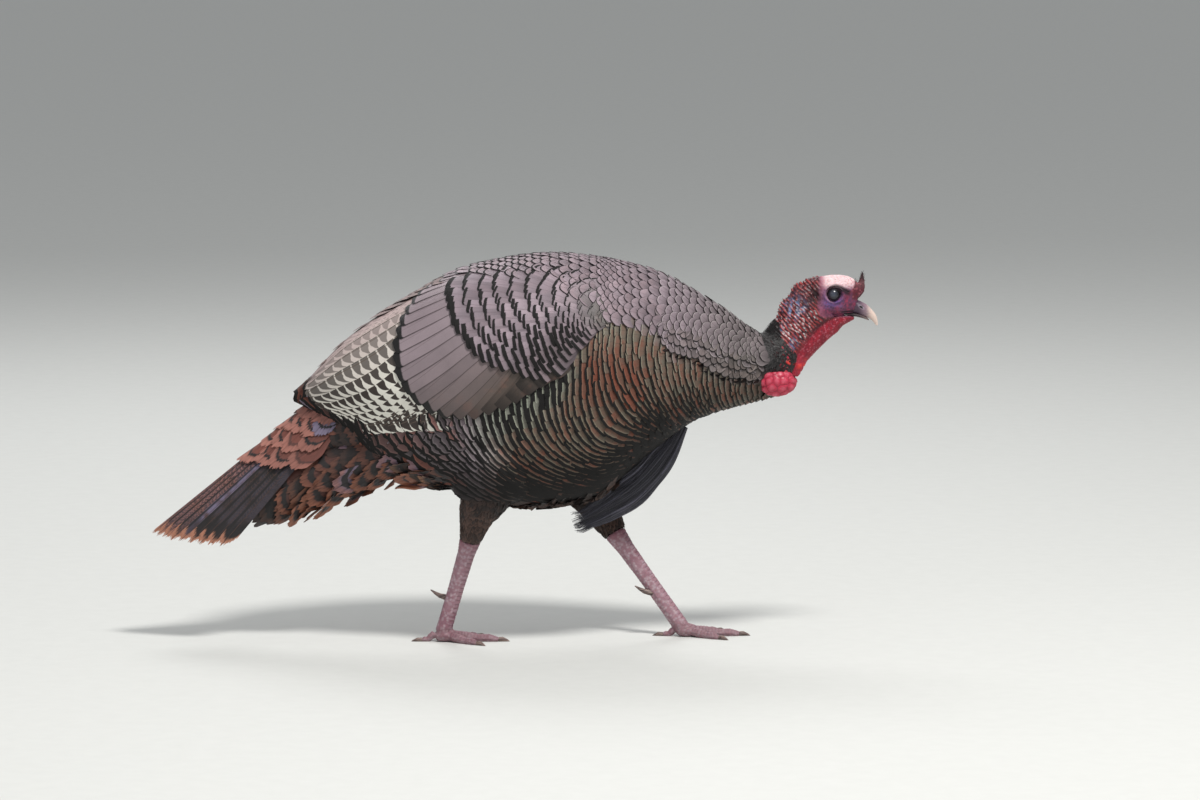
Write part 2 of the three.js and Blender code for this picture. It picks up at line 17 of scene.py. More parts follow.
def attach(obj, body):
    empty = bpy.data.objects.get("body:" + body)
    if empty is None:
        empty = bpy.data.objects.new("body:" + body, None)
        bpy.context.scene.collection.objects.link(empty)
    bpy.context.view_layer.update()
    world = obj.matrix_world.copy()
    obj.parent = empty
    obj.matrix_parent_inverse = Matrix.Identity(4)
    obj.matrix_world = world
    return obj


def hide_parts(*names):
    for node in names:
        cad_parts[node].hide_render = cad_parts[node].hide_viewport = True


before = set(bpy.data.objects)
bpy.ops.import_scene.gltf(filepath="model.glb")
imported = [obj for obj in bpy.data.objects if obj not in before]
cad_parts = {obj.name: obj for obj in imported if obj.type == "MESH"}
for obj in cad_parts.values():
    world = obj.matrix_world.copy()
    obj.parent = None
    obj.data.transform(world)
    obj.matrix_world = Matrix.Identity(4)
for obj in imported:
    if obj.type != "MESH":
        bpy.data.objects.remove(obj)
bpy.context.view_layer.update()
MM = 0.001

# %% [markdown]
# ## Camera, floor and light
# The bird is seen from its right side, from far off and slightly above, so a long lens keeps its
# proportions. The floor is one wide pale plane, and three large soft lights do what an overcast sky
# does: most of the light comes from above, so the belly falls into shade.

# %% Camera, floor and light
AIM = Vector((0.125, 0.0, 0.346))
FAR = 8.5
RISE = math.radians(6.5)
VIEW_WIDTH = 1.722  # metres across the picture at the bird
BIRD_MIDDLE = (0, 0, 0.3)  # what the lights are turned to


def look_from(thing, place, aim):
    thing.location = place
    thing.rotation_euler = (Vector(aim) - Vector(place)).to_track_quat("-Z", "Y").to_euler()


lens = bpy.data.cameras.new("long_lens")
lens.sensor_width = 36.0
lens.lens = lens.sensor_width * FAR / VIEW_WIDTH
lens.clip_end = 200
camera = bpy.data.objects.new("camera", lens)
bpy.context.scene.collection.objects.link(camera)
look_from(camera, AIM + Vector((0, -math.cos(RISE), math.sin(RISE))) * FAR, AIM)
bpy.context.scene.camera = camera


def soft_light(name, place, size, watts, tint=(1, 1, 1)):
    panel = bpy.data.lights.new(name, "AREA")
    panel.shape = "DISK"
    panel.size = size
    panel.energy = watts
    panel.color = tint
    lamp = bpy.data.objects.new(name, panel)
    bpy.context.scene.collection.objects.link(lamp)
    look_from(lamp, place, BIRD_MIDDLE)


soft_light("key", (1.3, -2.2, 4.5), 1.1, 222, tint=(1, 0.98, 0.95))
soft_light("fill", (-3.0, -3.5, 2.2), 2.6, 12)
soft_light("rim", (-0.6, 3.2, 3.4), 2.0, 60)
sky = bpy.data.worlds.new("studio")
sky.use_nodes = True
sky.node_tree.nodes["Background"].inputs["Color"].default_value = (0.93, 0.95, 0.97, 1)
sky.node_tree.nodes["Background"].inputs["Strength"].default_value = 0.46
bpy.context.scene.world = sky
bpy.context.scene.view_settings.view_transform = "Standard"
print("camera at", [round(v, 3) for v in camera.location], "lens", round(lens.lens, 1))

# %% [markdown]
# ## Shader sums as plain arithmetic
# A node tree is a formula, so it reads best as one. A small class wraps a socket and overloads the
# usual signs, and each sign adds a Math node. Colours go through a Mix node instead, because a Math
# node would turn them grey. Any other node comes from one method.

# %% Wire and Finish


class Wire:
    """A shader socket that takes part in ordinary arithmetic."""

    def __init__(self, finish, socket):
        self.finish = finish
        self.socket = socket

    def sum(self, operation, first, second=None):
        return self.finish.node("ShaderNodeMath", {"operation": operation}, [first, second])

    def __mod__(self, other):
        return self.sum("FRACT", self.sum("DIVIDE", self, other))

    def wave(self):
        """A sine between 0 and 1."""
        return self.sum("SINE", self) * 0.5 + 0.5

    def size(self):
        return self.sum("ABSOLUTE", self)

    def most(self, other):
        return self.sum("MAXIMUM", self, other)

    def rise(self, low, high):
        """0 below low, 1 above high, and a smooth step between."""
        settings = {"interpolation_type": "SMOOTHSTEP"}
        sockets = {"Value": self, "From Min": low, "From Max": high}
        return self.finish.node("ShaderNodeMapRange", settings, sockets)

    def other(self, name):
        """Another output of the same node."""
        return Wire(self.finish, self.socket.node.outputs[name])


SIGNS = {"add": "ADD", "sub": "SUBTRACT", "mul": "MULTIPLY", "truediv": "DIVIDE", "pow": "POWER"}
for sign, meaning in SIGNS.items():
    setattr(Wire, f"__{sign}__", lambda self, other, m=meaning: self.sum(m, self, other))
    setattr(Wire, f"__r{sign}__", lambda self, other, m=meaning: self.sum(m, other, self))


# %% One finish


class Finish:
    """One material, built by node() and closed by surface()."""

    def __init__(self, name):
        self.material = bpy.data.materials.new(name)
        self.material.use_nodes = True
        self.tree = self.material.node_tree
        self.tree.nodes.clear()

    def node(self, kind, settings=None, sockets=None, take=0):
        made = self.tree.nodes.new(kind)
        for key, value in (settings or {}).items():
            setattr(made, key, value)
        pairs = sockets.items() if isinstance(sockets, dict) else enumerate(sockets or [])
        for key, value in pairs:
            if isinstance(value, Wire):
                self.tree.links.new(value.socket, made.inputs[key])
            elif value is not None:
                made.inputs[key].default_value = value
        return Wire(self, made.outputs[take]) if made.outputs else None

    def mix(self, first, second, share, blend="MIX"):
        """A colour between two, by share."""
        settings = {"data_type": "RGBA", "blend_type": blend}
        return self.node("ShaderNodeMix", settings, {0: share, 6: first, 7: second}, 2)

    def tinted(self, first, second):
        """first multiplied by second."""
        return self.mix(first, second, 1.0, "MULTIPLY")

    def toned(self, color, tone):
        """A colour made lighter or darker by a number."""
        return self.tinted(color, self.node("ShaderNodeCombineXYZ", None, [tone, tone, tone]))

    def place(self):
        return self.node("ShaderNodeNewGeometry").other("Position")

    def split(self, vector):
        first = self.node("ShaderNodeSeparateXYZ", None, [vector])
        return first, first.other("Y"), first.other("Z")

    def vane(self):
        """Across a feather's vane from -1 to 1, and from its root to its tip."""
        return self.split(self.node("ShaderNodeUVMap", {"uv_map": "Vane"}))[:2]

    def noise(self, where, scale, detail=3.0, rough=0.55):
        sockets = {"Vector": where, "Scale": scale, "Detail": detail, "Roughness": rough}
        return self.node("ShaderNodeTexNoise", None, sockets, "Fac")

    def vertex(self, name, take="Color"):
        return self.node("ShaderNodeAttribute", {"attribute_name": name}, None, take)

    def bump(self, height, strength, distance):
        return self.node(
            "ShaderNodeBump", None, {"Height": height, "Strength": strength, "Distance": distance}, "Normal"
        )

    def surface(self, **sockets):
        """Closes the material with one shader. Names are the sockets' own, with _ for a space."""
        named = {key.replace("_", " "): value for key, value in sockets.items()}
        shader = self.node("ShaderNodeBsdfPrincipled", None, named)
        self.node("ShaderNodeOutputMaterial", None, {"Surface": shader})
        return self.material


def rgb(red, green, blue):
    """A colour from 0 to 255 on a screen, as the shader's linear values."""
    linear = [(v / 255 / 12.92 if v <= 10 else ((v / 255 + 0.055) / 1.055) ** 2.4) for v in (red, green, blue)]
    return (*linear, 1.0)


# %% [markdown]
# The floor is a studio's, not part of the bird: one face, wide enough that no view reaches its rim,
# with a grain so faint that only its shadows show.

# %% A wide pale floor
FLOOR_HALF = 60  # metres
plane = bpy.data.meshes.new("floor")
rim = [(FLOOR_HALF * x, FLOOR_HALF * y, 0) for x, y in ((-1, -1), (1, -1), (1, 1), (-1, 1))]
plane.from_pydata(rim, [], [(0, 1, 2, 3)])
floor = bpy.data.objects.new("floor", plane)
bpy.context.scene.collection.objects.link(floor)
pale = Finish("pale_floor")
grain = pale.noise(pale.place(), 35.0)
plane.materials.append(
    pale.surface(Base_Color=pale.mix(rgb(204, 205, 202), rgb(211, 212, 209), grain), Roughness=0.85)
)

# %% [markdown]
# ## The body as a measured surface
# Feathers can only lie well on a surface that is known everywhere. The trunk is a run of rounded
# sections between a back line, a belly line and a flank line, so the same lines give any point of
# it, its slopes and its outward direction. Casting rays at the solids would do it too, but would
# print their flat faces through the coat.

# %% The lines of the body, in millimetres


def through(pairs):
    """A smooth line through (x, value) pairs that never overshoots."""
    px, pv = np.array(pairs, float).T
    slope = np.diff(pv) / np.diff(px)
    before = np.concatenate([slope[:1], slope])
    after = np.concatenate([slope, slope[-1:]])
    same = before * after > 0
    tangent = np.where(same, 2 * before * after / np.where(same, before + after, 1), 0)

    def line(x):
        x = np.clip(x, px[0], px[-1])
        i = np.clip(np.searchsorted(px, x) - 1, 0, len(px) - 2)
        span = px[i + 1] - px[i]
        t = (x - px[i]) / span
        t2, t3 = t * t, t * t * t
        return (
            (2 * t3 - 3 * t2 + 1) * pv[i] + (t3 - 2 * t2 + t) * span * tangent[i]
            + (3 * t2 - 2 * t3) * pv[i + 1] + (t3 - t2) * span * tangent[i + 1]
        )

    return line


def smooth(value, low, high):
    """0 at low, 1 at high, and a soft step between."""
    t = np.clip((np.asarray(value, float) - low) / (high - low), 0, 1)
    return t * t * (3 - 2 * t)


back = through([
    (-312, 358), (-234, 441), (-148, 499), (-62, 540), (60, 558), (190, 538), (297, 483), (334, 456), (372, 431),
])
belly = through([
    (-312, 346), (-250, 306), (-180, 246), (-90, 219), (30, 195), (110, 205), (197, 271), (268, 320), (372, 350),
])
flank = through([
    (-312, 16), (-234, 66), (-148, 103), (-62, 124), (50, 131), (130, 122), (200, 99), (268, 70), (372, 38),
])
wing_edge = through([
    (-305, 366), (-268, 334), (-205, 317), (-119, 328), (-62, 338), (-19, 351), (46, 393), (75, 426),
    (125, 472), (152, 494),
])
wing_inner = through([(-320, 7), (-200, 22), (-100, 42), (0, 62), (160, 78)])
SQUARE = 2.25
WING_THICK, WING_EDGE_THICK = 13.0, 3.0


def section_point(x, angle, winged):
    """A point of the right half: angle 0 is the top of the back and pi the keel."""
    top, low = back(x), belly(x)
    middle = (top + low) / 2
    c, s = np.cos(angle), np.sin(angle)
    wide = flank(x) * np.abs(s) ** (2 / SQUARE)
    z = middle + (top - middle) * np.sign(c) * np.abs(c) ** (2 / SQUARE)
    if winged:
        above = smooth(z - wing_edge(x), -4, 60)
        full = WING_THICK * (1 - 0.6 * smooth(x, 30, 150))
        thick = WING_EDGE_THICK + (full - WING_EDGE_THICK) * above
        thick = thick * (1 - smooth(x, 110, 205))
        wide = wide + thick * np.minimum(1, wide / flank(x) * 1.2)
    return np.stack([x + 0 * z, -wide, z], -1)


# %% [markdown]
# A table of points over the right half makes every later question quick: where a place is, which
# way is out, and how far it is round the body. `share` runs from 0 on the back to 1 on the keel,
# evenly by length. The left half is its mirror image.

# %% A half skin that answers where any place is
HALF_STEPS = 120
PAST_MIDLINE = 0.3
BACK_STEPS = 40  # steps from the midline in which the back is widest


def unit(vector):
    return vector / (np.linalg.norm(vector, axis=-1, keepdims=True) + 1e-9)


def run_along(points):
    """Millimetres walked along a line of points, from 0 at the first."""
    return np.concatenate([[0], np.cumsum(np.linalg.norm(np.diff(points, axis=0), axis=1))])


def with_slopes(points, a, b, inside):
    """Rows of [place, slope along a, slope along b, outward] for a grid of points."""
    along, around = np.gradient(points, a, axis=0), np.gradient(points, b, axis=1)
    out = unit(np.cross(along, around))
    out *= np.sign((out * (points - inside)).sum(2, keepdims=True))
    return np.concatenate([points, along, around, out], 2)


def between(table, i, j):
    """The table's rows at fractional steps i and j."""
    i0 = np.clip(i.astype(int), 0, table.shape[0] - 2)
    j0 = np.clip(j.astype(int), 0, table.shape[1] - 2)
    a, b = (i - i0)[..., None], (j - j0)[..., None]
    near_side = table[i0, j0] * (1 - a) + table[i0 + 1, j0] * a
    far_side = table[i0, j0 + 1] * (1 - a) + table[i0 + 1, j0 + 1] * a
    return near_side * (1 - b) + far_side * b


# %% The half skin


class HalfSkin:
    """The right half's surface: x along the body in millimetres, share round it from 0 to 1."""

    def __init__(self, winged):
        self.x0, x1, self.dx = -345.0, 390, 3.0
        xs = np.arange(self.x0, x1, self.dx)
        angle = np.linspace(0, math.pi, 721)
        fine = section_point(xs[:, None], angle[None, :], winged)
        step = np.linalg.norm(np.diff(fine, axis=1), axis=2)
        run = np.concatenate([np.zeros((len(xs), 1)), np.cumsum(step, 1)], 1)
        self.girth = run[:, -1]
        shares = np.linspace(0, 1, HALF_STEPS + 1)
        half = np.stack([
            np.stack([np.interp(shares * run[i, -1], run[i], fine[i, :, k]) for k in range(3)], -1)
            for i in range(len(xs))
        ])
        extra = int(PAST_MIDLINE * HALF_STEPS)
        mirror = np.array([1, -1, 1])
        self.points = np.concatenate(
            [half[:, 1:extra + 1][:, ::-1] * mirror, half, half[:, -extra - 1:-1][:, ::-1] * mirror], 1
        )
        self.xs = xs
        self.s0 = -extra / HALF_STEPS
        middle = np.stack([xs, 0 * xs, (back(xs) + belly(xs)) / 2], -1)[:, None]
        self.table = with_slopes(self.points, self.dx, 1 / HALF_STEPS, middle)

    def look(self, x, share):
        """Rows of [place, slope along, slope around, outward], read between the table's points."""
        x = np.asarray(x, float)
        held = np.clip(x, self.xs[0], self.xs[-1] - 1e-3)
        held_share = np.clip(share, self.s0, 1 + PAST_MIDLINE - 0.01)
        found = between(self.table, (held - self.x0) / self.dx, (held_share - self.s0) * HALF_STEPS)
        found[..., 0] += x - held
        return found

    def share_where(self, x, value, axis, steps):
        """The share at which the section at x, followed for some steps, falls to a value."""
        n = int(round(-self.s0 * HALF_STEPS))
        rows = np.clip(((np.asarray(x, float) - self.x0) / self.dx).round().astype(int), 0, len(self.xs) - 1)
        shares = np.linspace(0, 1, HALF_STEPS + 1)[:steps]
        falls = np.atleast_2d(-self.points[rows, n:n + steps, axis])
        return np.array([np.interp(-v, line, shares) for v, line in zip(np.atleast_1d(value), falls)])

    def share_at_z(self, x, z):
        """The share at which the side reaches height z."""
        return self.share_where(x, z, 2, HALF_STEPS + 1)

    def share_at_y(self, x, y):
        """The share at which the back reaches y to the side."""
        return self.share_where(x, -np.asarray(y, float), 1, BACK_STEPS)

    def girth_at(self, x):
        """Millimetres from the back to the keel round one side."""
        return np.interp(x, self.xs, self.girth)


body_skin = HalfSkin(False)
wing_skin = HalfSkin(True)
print("half girth at the breast", round(float(body_skin.girth_at(60))), "mm")

# %% [markdown]
# ## One feather, many times
# A contour feather is a thin curved vane. Its root is hidden under the feathers before it and its
# tip lies on top of those behind. A grid with a square or round end, laid along the surface and
# sunk at the root, does this for thousands of feathers at once, and their edges shingle without
# crossing. Each feather carries its own colour, and a map across the vane for the bands.

# %% Lay a batch of vanes on a half skin
rng = np.random.default_rng(20240611)


def drift(a, b, seed, scale):
    """A slow random wave over the body between -1 and 1, so that neighbours vary together."""
    waves = np.random.default_rng(seed).normal(size=(5, 3))
    total = sum(np.sin((w[0] * a + w[1] * b) / scale + 6 * w[2]) for w in waves)
    return total / 3.2


def bell(distance, width):
    return np.exp(-((distance / width) ** 2))


def columns(value, count):
    """A number or one number per feather, as a column."""
    return np.broadcast_to(np.asarray(value, float), (count,)).reshape(count, 1, 1)


def slope_parts(vector, along, around):
    """How much of each slope it takes to go a vector's way over the surface."""
    e, f, g = (along * along).sum(-1), (along * around).sum(-1), (around * around).sum(-1)
    p, q = (vector * along).sum(-1), (vector * around).sum(-1)
    det = e * g - f * f + 1e-9
    return (g * p - f * q) / det, (e * q - f * p) / det


def lay(skin, x, share, side, heading, length, width, sink, tint, marks, nu=6, nv=6, square=2.6, corner=0.16,
        root=0.45, camber=0.5, roll=0.0, lift=0.0, fray=0.0, base=0.0, drape=None):
    """
    Vanes with their tips at (x, share), pointing heading's way: a direction, or parts of the two slopes.
    Their roots lie sink mm under the surface and their tips lift mm over it, both from base.
    """
    n = len(x)
    here = skin.look(x, share)
    along, around, out = here[:, 3:6], here[:, 6:9], here[:, 9:12]
    way = heading if heading.shape[1] == 3 else along * heading[:, :1] + around * heading[:, 1:]
    way = unit(way - out * (way * out).sum(1, keepdims=True))
    wa, wb = (part[:, None, None] for part in slope_parts(way, along, around))
    ca, cb = (part[:, None, None] for part in slope_parts(np.cross(out, way), along, around))
    u, v = (grid[None] for grid in np.meshgrid(np.linspace(-1, 1, nu + 1), np.linspace(0, 1, nv + 1)))
    length, width = columns(length, n), columns(width, n)
    flip = columns(side, n)
    half = width / 2 * (root + (1 - root) * smooth(v, 0, 0.55))
    tip = 1 - columns(corner, n) * np.abs(u) ** columns(square, n)
    ragged = 0
    if np.any(np.asarray(fray) > 0):
        ragged = columns(fray, n) * rng.uniform(-1, 0.3, (n, 1, nu + 1)) * smooth(v, 0.55, 1)
    go = length * (v * tip - 1) + ragged
    wide = half * u * -flip
    xx = x[:, None, None] + go * wa + wide * ca
    ss = share[:, None, None] + go * wb + wide * cb
    rows = skin.look(xx, ss)
    if drape:
        rows[..., 1] = drape(rows[..., 0], rows[..., 1], rows[..., 2], flip)
    height = (
        columns(base, n) - columns(sink, n) * (1 - v) + columns(lift, n) * v ** 2
        - columns(camber, n) * u * u + columns(roll, n) * u * -flip
    )
    points = rows[..., :3] + rows[..., 9:12] * height[..., None]
    points[..., 1] *= -flip
    place = np.stack([(x + 345) / 735, np.where(np.asarray(side) < 0, share, 2 - share) / 2 + 0 * x], 1)
    return {"points": points, "tint": np.broadcast_to(tint, (n, 3)), "marks": np.broadcast_to(marks, (n, 4)),
            "place": np.clip(place, 0.004, 0.994)}


# %% [markdown]
# A region's batches are joined into one mesh. The map named OFBake gives each feather a small patch
# at its root's place on an unrolled body, for baking, and the map named Vane runs across the vane
# and from root to tip, for the finish.

# %% Join batches into one piece
BAKE_PATCH = 0.003


def placed(name, mesh, finish, nodes=()):
    """A mesh as a smooth piece that rides on the body and stands for the nodes."""
    mesh.polygons.foreach_set("use_smooth", np.ones(len(mesh.polygons), bool))
    mesh.materials.append(finish)
    thing = bpy.data.objects.new(name, mesh)
    bpy.context.scene.collection.objects.link(thing)
    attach(thing, "root")
    if nodes:
        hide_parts(*nodes)


def grid_mesh(name, batches, finish, nodes=()):
    points, faces, vane, tint, marks, bake = [], [], [], [], [], []
    count = 0
    for batch in batches:
        n, rows, cols = batch["points"].shape[:3]
        points.append(batch["points"].reshape(-1, 3))
        corner = (np.arange(rows - 1)[:, None] * cols + np.arange(cols - 1)[None]).reshape(-1)
        quad = np.stack([corner, corner + cols, corner + cols + 1, corner + 1], 1)
        faces.append((quad[None] + (np.arange(n) * rows * cols)[:, None, None]).reshape(-1, 4) + count)
        count += n * rows * cols
        u, v = np.meshgrid(batch.get("u", np.linspace(-1, 1, cols)), np.linspace(0, 1, rows))
        flat = np.stack([u * batch.get("turn", 1.0), v], -1).reshape(1, -1, 2)
        vane.append(np.broadcast_to(flat, (n, rows * cols, 2)).reshape(-1, 2))
        spot = np.stack([(u + 1) / 2, v], -1).reshape(1, -1, 2) * batch.get("patch", BAKE_PATCH)
        bake.append((batch["place"][:, None] + spot).reshape(-1, 2))
        tint.append(np.repeat(np.concatenate([batch["tint"], np.ones((n, 1))], 1), rows * cols, 0))
        marks.append(np.repeat(batch["marks"], rows * cols, 0))
    points, faces = np.concatenate(points) * MM, np.concatenate(faces)
    mesh = bpy.data.meshes.new(name)
    mesh.vertices.add(len(points))
    mesh.vertices.foreach_set("co", points.ravel())
    mesh.loops.add(faces.size)
    mesh.loops.foreach_set("vertex_index", faces.ravel())
    mesh.polygons.add(len(faces))
    mesh.polygons.foreach_set("loop_start", np.arange(0, faces.size, 4))
    mesh.polygons.foreach_set("loop_total", np.full(len(faces), 4))
    mesh.update(calc_edges=True)
    corner = faces.ravel()
    for label, values in (("OFBake", bake), ("Vane", vane)):
        layer = mesh.uv_layers.new(name=label)
        layer.data.foreach_set("uv", np.concatenate(values)[corner].ravel())
    for label, values in (("tint", tint), ("marks", marks)):
        layer = mesh.attributes.new(label, "FLOAT_COLOR", "POINT")
        layer.data.foreach_set("color", np.concatenate(values).astype(np.float32).ravel())
    placed(name, mesh, finish, nodes)
    print(f"{name}: {sum(len(b['points']) for b in batches)} vanes, {2 * len(faces)} triangles")


# %% [markdown]
# ## The finish of a contour feather
# Fine barbs run from the shaft to the edges. Each feather ends in a black band, and before it lies a
# copper zone, partly the feathers' own bronze and partly painted iridescent glint. All of it is
# worked out from the map across the vane, the feather's own colour and four marks: the band's share
# of the length, the copper and glint, a random number and the streaks.

# %% Contour feather finish
BLACK = rgb(17, 15, 15)
# the copper of the zone before the black band, partly painted iridescent glint
COPPER = rgb(122, 66, 50)
BARBS = 30.0  # bundles of barbs from root to tip


def feather_finish(name, rim=0.0):
    """A vane with barbs, a shaft, a copper zone partly painted glint and a black tip; rim paints a highlight before
    it.
    """
    made = Finish(name)
    u, v = made.vane()
    tint = made.vertex("tint")
    marks = made.vertex("marks")
    band, copper_and_glint, chance = made.split(marks)
    streak = marks.other("Alpha")
    where = made.place()
    fine = made.noise(where, 900.0, 2.0)
    wide = made.noise(where, 55.0, 3.0)
    slant = v * BARBS - u.size() * (BARBS * 0.45)
    barb = (slant * 6.283 + fine * 5).wave()
    shaft = 1 - u.size().rise(0.02, 0.07)
    tone = barb * 0.22 * streak + wide * 0.34 + fine * 0.16 + 0.48 + (chance - 0.5) * 0.22
    # darker towards the root, where the feather before overlaps it: painted shade
    tone = tone * (v.rise(0.55, 0.92) * 0.35 + 0.72)
    lit = made.toned(tint, tone)
    # copper zone: partly the feathers' own bronze, partly painted iridescent glint
    zone = v.rise(0.50, 0.86) * (1 - v.rise(0.90, 0.99)) * copper_and_glint * wide.rise(0.35, 0.62)
    lit = made.mix(lit, COPPER, zone * 0.75)
    lit = made.mix(lit, made.tinted(tint, (0.45, 0.42, 0.42, 1)), shaft * 0.5)
    start = 1 - band + (fine - 0.5) * 0.035 + u.size() * 0.012
    tipped = ((v - start) * 60).rise(-0.5, 0.6) * band.rise(0.001, 0.01)
    # painted highlight: rim lightens the edge just before the black band
    pale = ((v - start) * 22 + 1.1).rise(0, 0.7) * rim
    lit = made.mix(lit, made.tinted(tint, (1.5, 1.6, 1.5, 1)), pale)
    color = made.mix(lit, BLACK, tipped)
    height = barb * 0.5 + fine * 0.4 + shaft * 0.8
    return made.surface(
        Base_Color=color, Metallic=0.22 * (1 - tipped * 0.8), Normal=made.bump(height, 0.35, 0.0004),
        Roughness=0.50 + fine * 0.16 - wide * 0.05 + tipped * 0.15, Specular_IOR_Level=0.3,
    )


plumage = feather_finish("bronze_plumage")
# the breast feathers get the painted highlight before their black band
slats = feather_finish("breast_plumage", rim=0.7)

# %% [markdown]
# ## Rows over the neck, breast, belly and flanks
# On a turkey these feathers sit in rows like roof tiles, and their squared ends join into long
# black-edged lines round the body. The rows are found by walking across the lie of the coat: they
# lean back below the neck, stand upright on the side and sweep forward under the belly.

# %% Row lines across the lie of the coat
ROW_REFERENCE = 0.52  # the share round the body where rows are spaced


def lean_angle(x, share):
    """How far a row leans forward as it goes down, in radians."""
    upper = -22 * smooth(share, 0.16, 0.30) * (1 - smooth(share, 0.36, 0.52)) * smooth(x, 60, 200)
    lower = 58 * smooth(share, 0.50, 0.80) * (1 - smooth(share, 0.90, 1.0)) * (1 - 0.72 * smooth(x, 120, 230))
    return np.radians(upper + lower)


def row_lines(skin, starts):
    """For each start, x at every share from 0 to 1."""
    shares = np.linspace(0, 1, HALF_STEPS + 1)
    lines = np.zeros((len(starts), len(shares)))
    middle = int(ROW_REFERENCE * HALF_STEPS)
    lines[:, middle] = starts

    def slope(x, share):
        here = skin.look(x, np.full(len(x), share))
        e = (here[:, 3:6] ** 2).sum(1)
        f = (here[:, 3:6] * here[:, 6:9]).sum(1)
        g = (here[:, 6:9] ** 2).sum(1)
        return -f / e + np.tan(lean_angle(x, share)) * np.sqrt(np.maximum(g / e - (f / e) ** 2, 0))

    for way in (1, -1):
        j = middle
        while 0 <= j + way <= HALF_STEPS:
            x, s = lines[:, j], shares[j]
            h = way / HALF_STEPS
            guess = x + slope(x, s) * h / 2
            lines[:, j + way] = x + slope(guess, s + h / 2) * h
            j += way
    return lines


def row_starts(first, last, spacing):
    """Starts from first back to last, spacing(x) apart along the side."""
    x, starts = first, []
    while x > last:
        starts.append(x)
        stretch = np.linalg.norm(body_skin.look(np.array([x]), np.array([ROW_REFERENCE]))[0, 3:6])
        x -= spacing(x) / stretch
    return np.array(starts)


row_pitch = through([(-330, 14), (-140, 14), (-60, 11), (60, 10), (200, 9.4), (300, 8.8), (380, 8)])
tile_width = through([(-330, 26), (-60, 20), (60, 18), (200, 16), (300, 14), (380, 11)])
STARTS = row_starts(470, -420, row_pitch)
print(len(STARTS), "rows over the body")


# %% Feather places along the rows


def tiles_in_rows(skin, lines, starts):
    """Tip places along every row, as columns x, share, gap between neighbours and side."""
    shares = np.linspace(0, 1, HALF_STEPS + 1)
    found = []
    for k, line in enumerate(lines):
        run = run_along(skin.look(line, shares)[:, :3])
        want = float(tile_width(np.clip(starts[k], -330, 380)))
        number = max(2, int(round(run[-1] / want)))
        offset = 0.5 * (k % 2)
        for side in (-1, 1):
            at = (np.arange(number + 1) + offset) / number
            at = at[at <= 1.0001]
            if side > 0:
                at = at[(at > 0.01) & (at < 0.99)]
            at = at + rng.normal(0, 0.06, len(at)) / number * (at > 0.01) * (at < 0.99)
            x = np.interp(at * run[-1], run, line)
            share = np.interp(at * run[-1], run, shares)
            found.append(np.stack([x, share, np.full(len(x), run[-1] / number), np.full(len(x), side)], 1))
    return np.concatenate(found)


def along_rows(x, share, skin, jitter, extra=0.0):
    """The way feathers lie: backwards, turned down by the row's lean and by extra degrees."""
    here = skin.look(x, share)
    along, around, out = here[:, 3:6], here[:, 6:9], here[:, 9:12]
    behind = -unit(along)
    down = np.cross(out, behind)
    down *= np.sign((down * around).sum(1, keepdims=True))
    turn = lean_angle(x, share) + np.radians(extra + rng.normal(0, jitter, len(x)))
    return behind * np.cos(turn)[:, None] + down * np.sin(turn)[:, None]


# %% [markdown]
# A turkey's coat changes by region: mauve-grey on the lower neck, bronze and rust below the fold,
# silver under the wing's edge, soot on the belly and chestnut on the rump. The regions are told by a
# few lines across the body, and each feather mixes their colours by its place and its own chance.

# %% Which coat each place wears
fold_line = through([
    (60, 520), (132, 481), (189, 463), (207, 448), (218, 428), (254, 414), (290, 391), (354, 377), (400, 372),
])
mantle_edge = through([(-330, 600), (-130, 548), (-60, 548), (20, 545), (75, 515), (132, 481)])
MAUVE, GREY, OLIVE = rgb(155, 140, 148), rgb(132, 122, 124), rgb(124, 117, 105)
BRONZE, RUST, SOOT, SILVER = rgb(110, 101, 89), rgb(114, 66, 52), rgb(30, 26, 25), rgb(142, 146, 136)


def mixed(first, second, share):
    """Colours between two, by a share for each feather or point."""
    share = np.clip(share, 0, 1)[:, None]
    return np.asarray(first)[..., :3] * (1 - share) + np.asarray(second)[..., :3] * share


def painted(color, coats):
    """A colour under coats of (colour, share), laid on in turn."""
    for tone, share in coats:
        color = mixed(color, tone, share)
    return color


